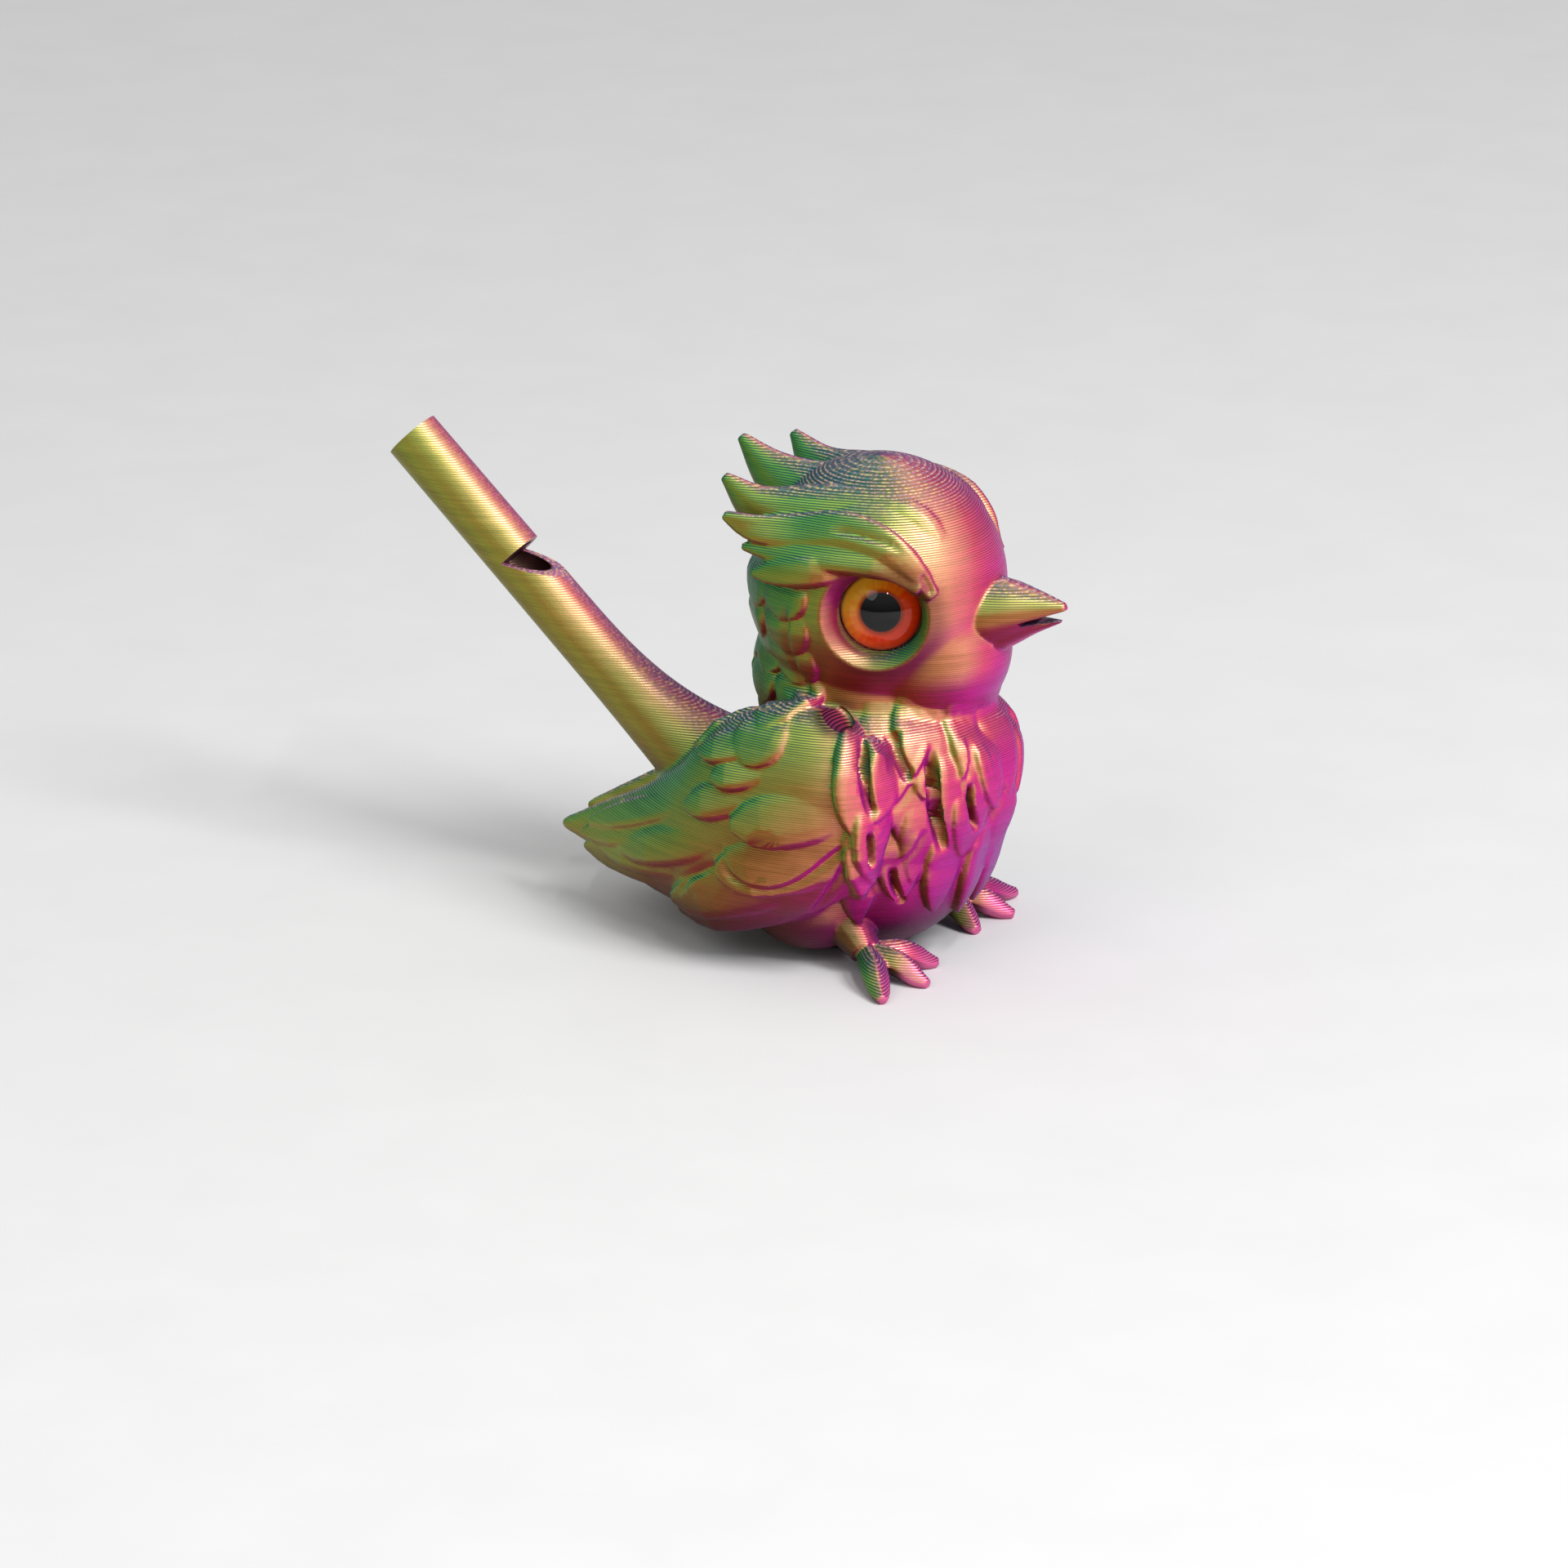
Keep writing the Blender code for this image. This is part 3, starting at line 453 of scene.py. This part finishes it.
# The printed skin: all of the above melted together, its strokes pressed in, and the floor, beak,
# eye seats and windway cut. The silk strand is gold, green and rose round its own axis, and always
# lies the same way round, so each face takes its colour from the way it looks.
body = melted("printed_bird", bird, 0.23, 1)
count = len(body.data.vertices)
skin_at = np.empty(count * 3)
skin_out = np.empty(count * 3)
body.data.vertices.foreach_get("co", skin_at)
body.data.vertices.foreach_get("normal", skin_out)
skin_at = skin_at.reshape(-1, 3)
skin_out = skin_out.reshape(-1, 3)
crease = 0.7 * mm  # over which a stroke's left side turns into its right
for points, left, right, reach in strokes:
    for side in (-1, 1):
        path = run_through(points, 4) * (-side * mm, mm, mm)
        low, high = path.min(0) - reach * mm, path.max(0) + reach * mm
        close = np.flatnonzero(np.all((skin_at > low) & (skin_at < high), axis=1))
        at, out = skin_at[close], skin_out[close]
        gap = np.full(len(close), 9.0)
        push = np.zeros(len(close))
        for i, (a, b) in enumerate(zip(path, path[1:])):
            along = b - a
            t = np.clip((at - a) @ along / (along @ along), 0, 1)
            off = at - (a + t[:, None] * along)
            far = np.linalg.norm(off, axis=1)
            across = np.cross(out, along / np.linalg.norm(along)) * -side
            onto_left = np.clip(np.einsum("ij,ij->i", off, across) / crease + 0.5, 0, 1)
            share = (i + t) / (len(path) - 1)
            fade = np.clip(np.minimum(share, 1 - share) * 5, 0, 1)
            fall = np.clip(1 - far / (reach * mm), 0, 1) ** 1.3
            move = (right + (left - right) * onto_left) * fall * fade * mm
            push = np.where(far < gap, move, push)
            gap = np.minimum(gap, far)
        skin_at[close] += out * push[:, None]
margin = 0.02 * mm
skin_at = np.clip(skin_at, np.array(cad_box[0]) + margin, np.array(cad_box[1]) - margin)
body.data.vertices.foreach_set("co", skin_at.ravel())
body.data.update()

triangles = sum(len(p.vertices) - 2 for p in body.data.polygons)
most_triangles = 185000
thin = body.modifiers.new("Thin", "DECIMATE")
thin.ratio = min(1.0, most_triangles / triangles)
settled(body)


def block(size, place, turn=Matrix.Identity(3)):
    """A cutting block of that full size in millimetres."""
    bm = bmesh.new()
    matrix = Matrix.Translation(place) @ turn.to_4x4() @ Matrix.Diagonal((*(Vector(size) * mm), 1))
    bmesh.ops.create_cube(bm, size=1, matrix=matrix)
    return bm


def cut(cutter):
    """Takes a cutter's shape out of the printed body."""
    tool = shown("cutter", cutter)
    boolean = body.modifiers.new("Cut", "BOOLEAN")
    boolean.operation = "DIFFERENCE"
    boolean.object = tool
    settled(body)
    bpy.data.objects.remove(tool)


# the flat underside
cut(block((80, 160, 20), Vector((0, 20, -10)) * mm))

# the open beak: a wedge that thins towards the corners of the mouth
gape_height, gape_depth, overcut = 1.7, 5.4, 2.0
gape = block((40.8, gape_depth + overcut, gape_height), Vector((0, 0, 0)))
for v in gape.verts:
    v.co.z *= 0.3 if v.co.y > 0 else 1
    v.co.y += (gape_depth - overcut) / 2 * mm
beak_tip = Matrix.Translation(Vector((0, -27.4, 46.8)) * mm)
tip_down = Matrix.Rotation(math.radians(-12), 4, "X")
bmesh.ops.transform(gape, matrix=beak_tip @ tip_down, verts=gape.verts)
cut(gape)

# the round seats of the eyes, with room for the glue
seat_radius = (eye_radius + 0.25) * mm
for side in (-1, 1):
    seat = bmesh.new()
    bmesh.ops.create_cone(
        seat,
        cap_ends=True,
        segments=96,
        radius1=seat_radius,
        radius2=seat_radius,
        depth=9.6 * mm,
        matrix=eye_frame(side) @ Matrix.Translation((0, 0, 4.8 * mm)),
    )
    cut(seat)

# the pockets between cheek, shoulder and breast, darkened further by a painted shadow in the silk
for side in (-1, 1):
    pocket = bmesh.new()
    mass(pocket, (side * 14.8, -2.6, 34.5), (6.0, 5.0, 1.8), 34)
    cut(pocket)

# the bore, the square mouth end, the flat windway and the window with its sloping lip
tube_turn = Matrix((Vector((1, 0, 0)), tube_along, tube_up)).transposed()
bore_end = 56
bore = bmesh.new()
bmesh.ops.create_cone(
    bore,
    cap_ends=True,
    segments=48,
    radius1=bore_width / 2 * mm,
    radius2=bore_width / 2 * mm,
    depth=(bore_end - windway_length) * mm,
    matrix=Matrix.Translation(on_tube((windway_length + bore_end) / 2))
    @ tube_along.to_track_quat("Z", "X").to_matrix().to_4x4(),
)
cut(bore)
cut(block((2 * tube_width, 4, 2 * tube_width), on_tube(-2), tube_turn))
windway_width, windway_height = 3.8, 1.0
windway_middle = on_tube(windway_length / 2, (bore_width - windway_height) / 2)
cut(block((windway_width, windway_length + 2, windway_height), windway_middle, tube_turn))

window_floor, window_roof = -0.3, 11
window_rise = window_roof - window_floor
window_end = windway_length + window_length
slope = (2 * tube_radius(window_end) - tube_width / 2 - window_floor) / window_length
far = windway_length + window_rise / slope
window_middle = on_tube((windway_length + far) / 2, (window_floor + window_roof) / 2)
window = block((2 * tube_width, far - windway_length, window_rise), window_middle, tube_turn)
made = bmesh.ops.bisect_plane(
    window,
    geom=[*window.verts, *window.edges, *window.faces],
    plane_co=on_tube(windway_length, window_floor),
    plane_no=(tube_up - tube_along * slope).normalized(),
    clear_inner=True,
)
lip = [e for e in made["geom_cut"] if isinstance(e, bmesh.types.BMEdge)]
bmesh.ops.contextual_create(window, geom=lip)
cut(window)
body.data.shade_smooth()
body.data.set_sharp_from_angle(angle=math.radians(48))


class Strand:
    """One socket of a material. Sums on it add Math nodes."""

    def __init__(self, tree, socket=None):
        self.tree = tree
        self.socket = socket

    def node(self, kind, values=None, out=0, stops=None, **settings):
        """A new node of that kind: its settings first, then its colour stops and its sockets."""
        node = self.tree.nodes.new("ShaderNode" + kind)
        for name, value in settings.items():
            setattr(node, name, value)
        if stops:
            band = node.color_ramp.elements
            while len(band) < len(stops):
                band.new(0.5)
            for stop, (place, tint) in zip(band, stops):
                stop.position = place
                stop.color = (*tint, 1)
        for name, value in (values or {}).items():
            if isinstance(value, Strand):
                self.tree.links.new(value.socket, node.inputs[name])
            else:
                node.inputs[name].default_value = value
        return Strand(self.tree, node.outputs[out])

    def sum(self, operation, *others):
        return self.node("Math", dict(enumerate((self, *others))), operation=operation)

    def __add__(self, other):
        return self.sum("ADD", other)

    def __sub__(self, other):
        return self.sum("SUBTRACT", other)

    def __rsub__(self, other):
        return self.node("Math", {0: other, 1: self}, operation="SUBTRACT")

    def __mul__(self, other):
        return self.sum("MULTIPLY", other)

    def __truediv__(self, other):
        return self.sum("DIVIDE", other)

    __radd__ = __add__
    __rmul__ = __mul__

    def between(self, low, high):
        """0 below low, 1 above high, with a soft rise between."""
        return self.node("MapRange", {0: self, 1: low, 2: high}, interpolation_type="SMOOTHSTEP")

    def blend(self, under, over):
        """The colour under where this is 0, and over where it is 1."""
        return self.node("Mix", {0: self, 6: under, 7: over}, out=2, data_type="RGBA")

    def ramp(self, stops):
        return self.node("ValToRGB", {0: self}, stops=stops)

    def feeds(self, shader, name):
        self.tree.links.new(self.socket, shader.inputs[name])


def paint(red, green, blue):
    """A colour as it looks on a screen, from 0 to 255, as linear light."""
    return tuple(((c / 255 + 0.055) / 1.055) ** 2.4 if c > 10 else c / 3295 for c in (red, green, blue))


def finish(name):
    """A new material: itself, its shader and a first strand to build on."""
    material = bpy.data.materials.new(name)
    material.use_nodes = True
    tree = material.node_tree
    return material, tree.nodes["Principled BSDF"], Strand(tree)


def round_the_bird(*stops):
    """Ramp stops given as degrees round from the bird's right cheek, with the beak's side over 0."""
    return [(degrees / 360 + 0.5, paint(*tint)) for degrees, tint in stops]


silk, shader, start = finish("silk_print")
place = start.node("TexCoord", out="Object")
facing = start.node("TexCoord", out="Normal")
x = facing.node("SeparateXYZ", {0: facing}, out="X")
y = facing.node("SeparateXYZ", {0: facing}, out="Y")
z = facing.node("SeparateXYZ", {0: facing}, out="Z")
x_at = place.node("SeparateXYZ", {0: place}, out="X")
y_at = place.node("SeparateXYZ", {0: place}, out="Y")
height = place.node("SeparateXYZ", {0: place}, out="Z")
past_head = y_at.between(20 * mm, 34 * mm)

# the way a face looks, round the bird
by_layer = place.node("VectorMath", {0: place, 1: (90, 90, 2600)}, operation="MULTIPLY")
drift = by_layer.node("TexNoise", {"Vector": by_layer, "Scale": 1.0, "Detail": 1.0}) - 0.5
slow = place.node("TexNoise", {"Vector": place, "Scale": 110.0, "Detail": 2.0}) - 0.5
cheek_x, cheek_y = -0.9135, -0.4067
across = x * -cheek_y + y * cheek_x
ahead = x * cheek_x + y * cheek_y
twist_per_mm = 0.6 / 360
twist = (height - 42 * mm) * (twist_per_mm / mm)
turn = across.sum("ARCTAN2", ahead) / math.tau + 0.5 - twist + drift * 0.02 + slow * 0.05

navy, teal, rose, violet = (48, 52, 112), (32, 92, 98), (230, 108, 124), (128, 56, 152)
upright = turn.ramp(round_the_bird(
    (-180, navy), (-140, teal), (-105, (28, 88, 80)), (-72, (42, 108, 60)), (-52, (82, 126, 54)),
    (-34, (124, 126, 52)), (-14, (140, 94, 50)), (6, (184, 120, 86)), (23, (218, 140, 118)),
    (42, (222, 96, 128)), (62, (208, 62, 146)), (98, (160, 54, 156)), (135, violet), (180, navy),
))
sloping = turn.ramp(round_the_bird(
    (-180, navy), (-130, (28, 78, 92)), (-90, (40, 116, 82)), (-62, (66, 146, 76)),
    (-36, (104, 166, 80)), (-14, (160, 176, 84)), (2, (208, 186, 118)), (15, (234, 192, 146)),
    (31, (242, 166, 140)), (48, rose), (70, (198, 72, 138)), (105, (166, 68, 150)), (140, violet),
    (180, navy),
))
hanging = turn.ramp(round_the_bird(
    (-180, (40, 48, 76)), (-120, (40, 78, 48)), (-85, (74, 104, 42)), (-55, (100, 88, 36)),
    (-32, (118, 62, 34)), (-10, (128, 46, 42)), (12, (150, 46, 92)), (35, (190, 54, 138)),
    (68, (180, 58, 152)), (105, (124, 48, 160)), (145, (84, 50, 136)), (180, (40, 48, 76)),
))
shaded_treads = turn.ramp(round_the_bird(
    (-180, (36, 40, 80)), (-90, (28, 70, 82)), (-40, (34, 82, 76)), (-5, (98, 104, 66)),
    (20, (188, 132, 104)), (45, (166, 64, 92)), (110, (100, 42, 112)), (180, (36, 40, 80)),
))
tilt = z.sum("MAXIMUM", 0.0)
tone = z.between(0.08, 0.52).blend(upright, sloping)
tone = (z * -1).between(0.0, 0.36).blend(tone, hanging)
tube_gold = (*paint(146, 146, 66), 1)
tone = (past_head * (0.5 - tilt * 0.45)).blend(tone, tube_gold)

# flat tops, where the strands lie side by side and show all three colours
speck = place.node("TexNoise", {"Vector": place, "Scale": 2300.0, "Detail": 1.0})
strand_tops = (
    (0.36, paint(72, 128, 140)),
    (0.46, paint(138, 124, 174)),
    (0.54, paint(230, 154, 178)),
    (0.62, paint(238, 224, 160)),
)
flat_top = z.between(0.6, 0.9)
tone = (flat_top * 0.7).blend(tone, speck.ramp(strand_tops))

# painted shade in the eye dishes, under the belly and at the legs, a painted shadow in the dark
# pockets, and rosy toe tips
one_side = place.node("CombineXYZ", {0: x_at.sum("ABSOLUTE"), 1: y_at, 2: height})


def near(middle, inner, outer):
    """1 within inner millimetres of a point and of its mirror image, and 0 beyond outer."""
    ends = {0: one_side, 1: Vector(middle) * mm}
    away = one_side.node("VectorMath", ends, out="Value", operation="DISTANCE")
    return 1 - away.between(inner * mm, outer * mm)


dish_shade = near((13.6, -8.6, 46.9), 6.4, 9.4) * 0.6
below = (1 - height.between(4 * mm, 13 * mm)) * (1 - z.between(-0.35, 0.25)) * 0.9
leg_shade = near((11.2, -3.6, 4.8), 2.4, 5.0) * 0.8
painted_shade = dish_shade.sum("MAXIMUM", below.sum("MAXIMUM", leg_shade))
# painted shade: a much darker copy of the tone in the eye dishes, under the belly and at the legs
tone = painted_shade.blend(tone, tone.node("HueSaturation", {"Value": 0.24, "Color": tone}))
# painted shadow: a near black fills the pockets
tone = near((14.8, -2.6, 34.5), 2.2, 3.9).blend(tone, (*paint(26, 12, 22), 1))
toe_tip = (1 - y_at.between(-12.6 * mm, -10.6 * mm)) * (1 - height.between(2.6 * mm, 3.6 * mm))
tone = (toe_tip * 0.7).blend(tone, (*paint(244, 132, 178), 1))

# layer lines: a round bead on an upright face, a dark tread between bright risers on a sloping one. The
# dark of the lines is painted shade: a darker copy of the tone on upright faces, and dark tread
# colours, partly the strand's own, on sloping ones.
layer = 0.28 * mm
step = (height / layer).sum("FRACT")
tread_from = 0.82 - tilt * 0.5
tread = step.between(tread_from - 0.1, tread_from + 0.06) * (1 - step.between(0.93, 1.0) * 0.6)
strength = (0.46 + tilt.between(0.05, 0.4) * 0.5) * (1 - z.between(0.86, 0.98) * 0.35)
strength = strength * (1 - past_head * 0.65)
# painted shade for the layer lines: the tone at half its brightness
shaded_tone = tone.node("HueSaturation", {"Hue": 0.495, "Saturation": 1.15, "Value": 0.5, "Color": tone})
shade = tilt.between(0.12, 0.4).blend(shaded_tone, shaded_treads)
colour = (tread * strength).blend(tone, shade)

# the bore and windway, painted dark rose inside as shade, where little light reaches
over_axis = place.node("VectorMath", {0: place, 1: tube_up}, out="Value", operation="DOT_PRODUCT")
over_axis = over_axis - tube_up.dot(tube_mouth)
from_axis = (over_axis * over_axis + x_at * x_at).sum("SQRT")
bore_shade = (1 - from_axis.between(2.74 * mm, 2.95 * mm)) * past_head
# painted shade: dark rose inside the bore and windway
colour = (bore_shade * 0.9).blend(colour, (*paint(58, 18, 40), 1))

# each bead's own round shine, a painted highlight along the middle of every layer; the same round
# profile bumps the surface
glint = 1 - (step - 0.45).sum("ABSOLUTE") * 2
# painted highlight: the colour brightened along each bead's middle, with random tone from layer to
# layer
shine = {"Saturation": 1.06, "Value": 0.95 + glint * 0.12 + drift * 0.5, "Color": colour}
colour = colour.node("HueSaturation", shine)
bead = glint * glint * -0.5 + glint
bump = bead.node("Bump", {"Strength": 1.0, "Distance": 0.045 * mm, "Height": bead}, out="Normal")
colour.feeds(shader, "Base Color")
(0.36 + tread * 0.2 + slow * 0.12).feeds(shader, "Roughness")
bump.feeds(shader, "Normal")
shader.inputs["Metallic"].default_value = 0.5
shader.inputs["Specular IOR Level"].default_value = 0.3
body.data.materials.clear()
body.data.materials.append(silk)
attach(body, "root")
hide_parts("whistle_body")


# Iris discs: painted behind the flat back of each glass eye, yellow towards the upper back and
# red orange below and in front, with fine streaks round a black pupil. They are glued to the
# floor of the seats.
iris_paint, shader, start = finish("iris_paint")
disc_radius = (eye_radius - 0.05) * mm
for side, word in ((-1, "right"), (1, "left")):
    disc = bmesh.new()
    bmesh.ops.create_cone(
        disc,
        cap_ends=True,
        segments=96,
        radius1=disc_radius,
        radius2=disc_radius,
        depth=0.53 * mm,
        matrix=eye_frame(side) @ Matrix.Translation((0, 0, 0.415 * mm)),
    )
    piece = shown(f"{word}_iris", disc)
    layout = piece.data.uv_layers.new(name="face")
    flat = eye_frame(side).inverted()
    for loop in piece.data.loops:
        local = flat @ piece.data.vertices[loop.vertex_index].co / (eye_radius * mm)
        layout.data[loop.index].uv = (local.x * side, local.y)
    piece.data.materials.append(iris_paint)
    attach(piece, "root")
    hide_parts(f"{word}_iris_disc")
face = start.node("UVMap", uv_map="face")
u = face.node("SeparateXYZ", {0: face}, out="X")
v = face.node("SeparateXYZ", {0: face}, out="Y")
reach = (u * u + v * v).sum("SQRT")
ray = start.node("CombineXYZ", {0: u / reach * 9, 1: v / reach * 9, 2: reach * 1.5})
streak = ray.node("TexNoise", {"Vector": ray, "Scale": 1.0, "Detail": 3.0})
fall = v * 0.32 + u * 0.36 + 0.5 + (streak - 0.5) * 0.35
iris_bands = (
    (0.12, paint(206, 40, 6)),
    (0.40, paint(228, 62, 8)),
    (0.62, paint(232, 112, 14)),
    (0.85, paint(236, 170, 36)),
)
ringed = fall.ramp(iris_bands)
rim = reach.between(0.84, 0.99).blend(ringed, (*paint(112, 30, 6), 1))
inner = (1 - reach.between(0.43, 0.56)).blend(rim, (*paint(150, 46, 8), 1))
pupil = (1 - reach.between(0.415, 0.44)).blend(inner, (*paint(5, 5, 6), 1))
pupil.feeds(shader, "Base Color")
(0.45 + streak * 0.2).feeds(shader, "Roughness")
shader.inputs["Specular IOR Level"].default_value = 0.0


# Glass domes: clear round cabochons with a flat back and a short girdle, spun from their half
# section. Each is glued into its seat over the disc.
glass, shader, start = finish("clear_glass")
place = start.node("TexCoord", out="Object")
smear = place.node("TexNoise", {"Vector": place, "Scale": 700.0, "Detail": 2.0})
(smear * 0.03).feeds(shader, "Roughness")
shader.inputs["Base Color"].default_value = (0.97, 0.98, 0.98, 1)
shader.inputs["Transmission Weight"].default_value = 1.0
shader.inputs["IOR"].default_value = 1.42
dome_rise, dome_height = 2.8, 3.4
for side, word in ((-1, "right"), (1, "left")):
    dome = bmesh.new()
    curve = (eye_radius**2 + dome_rise**2) / (2 * dome_rise)
    spread = math.asin(eye_radius / curve)
    outline = [(0, 0), (eye_radius - 0.1, 0), (eye_radius, 0.1)]
    for i in range(25):
        turn = spread * (1 - i / 24)
        outline.append((curve * math.sin(turn), dome_height - curve * (1 - math.cos(turn))))
    path = [dome.verts.new((r * mm, 0, h * mm)) for r, h in outline]
    edges = [dome.edges.new(pair) for pair in zip(path, path[1:])]
    bmesh.ops.spin(dome, geom=[*path, *edges], axis=(0, 0, 1), angle=math.tau, steps=96, use_merge=True)
    bmesh.ops.remove_doubles(dome, verts=dome.verts, dist=0.005 * mm)
    on_disc = eye_frame(side) @ Matrix.Translation((0, 0, 0.65 * mm))
    bmesh.ops.transform(dome, matrix=on_disc, verts=dome.verts)
    piece = shown(f"{word}_glass", dome)
    piece.data.materials.append(glass)
    piece.data.shade_smooth()
    piece.data.set_sharp_from_angle(angle=math.radians(40))
    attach(piece, "root")
    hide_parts(f"{word}_eye_dome")


# A pale matt table under the bird, wide enough to fill the whole view. It is the stage, and
# takes the bird's shadow.
table = bmesh.new()
bmesh.ops.create_grid(table, x_segments=2, y_segments=2, size=3)
floor = shown("table", table)
board, shader, start = finish("pale_board")
place = start.node("TexCoord", out="Object")
grain = place.node("TexNoise", {"Vector": place, "Scale": 60.0, "Detail": 4.0})
grain.ramp(((0.3, (0.71, 0.71, 0.71)), (0.7, (0.73, 0.73, 0.73)))).feeds(shader, "Base Color")
shader.inputs["Roughness"].default_value = 0.9
shader.inputs["Specular IOR Level"].default_value = 0.1
floor.data.materials.append(board)


# Soft studio light: a broad key lamp in front of the bird, a weak fill at its right side, and a
# slim leaning strip that shows in the eyes. The room is brighter overhead than at the horizon.
def softbox(name, place, size, power, aim=(0, 0.01, 0.03)):
    lamp = bpy.data.lights.new(name, "AREA")
    lamp.shape = "DISK"
    lamp.size = size
    lamp.energy = power
    holder = bpy.data.objects.new(name, lamp)
    holder.location = place
    holder.rotation_euler = (Vector(place) - Vector(aim)).to_track_quat("Z", "Y").to_euler()
    bpy.context.scene.collection.objects.link(holder)
    return holder


softbox("key", (-0.3, -0.9, 0.9), 0.5, 11.3)
softbox("fill", (-0.9, 0.2, 0.8), 0.6, 1.5)
strip = softbox("strip", (-0.43, -0.43, 0.855), 0.04, 2.5)
strip.data.shape = "RECTANGLE"
strip.data.size_y = 0.42
lean = Vector((0.43, -0.23, 0.87))  # the way the strip's long side runs
wide, tall = strip.rotation_euler.to_matrix().col[:2]
strip.rotation_euler.rotate_axis("Z", -math.atan2(lean.dot(wide), lean.dot(tall)))
world = bpy.data.worlds.new("room")
world.use_nodes = True
room = Strand(world.node_tree)
way = room.node("TexCoord", out="Generated")
rise = way.node("SeparateXYZ", {0: way}, out="Z")
glow = rise.ramp(((0.0, (0.16, 0.16, 0.16)), (0.35, (0.38, 0.38, 0.38)), (1.0, (0.66, 0.66, 0.66))))
room.tree.links.new(glow.socket, room.tree.nodes["Background"].inputs["Color"])
bpy.context.scene.world = world


# The camera, at the photograph's angle: at the bird's right, a little in front of it and above,
# with a long lens.
lens = bpy.data.cameras.new("camera")
lens.sensor_width = 36
lens.lens = 180
lens.clip_start = 0.01
camera = bpy.data.objects.new("camera", lens)
azimuth, elevation = math.radians(-66), math.radians(19)
level = math.cos(elevation)
back = Vector((math.sin(azimuth) * level, -math.cos(azimuth) * level, math.sin(elevation)))
looked_at = Vector((-0.00333, 0.00974, 0.02039))
camera.location = looked_at + back
camera.rotation_euler = back.to_track_quat("Z", "Y").to_euler()
bpy.context.scene.collection.objects.link(camera)
bpy.context.scene.camera = camera
bpy.context.scene.view_settings.view_transform = "Standard"
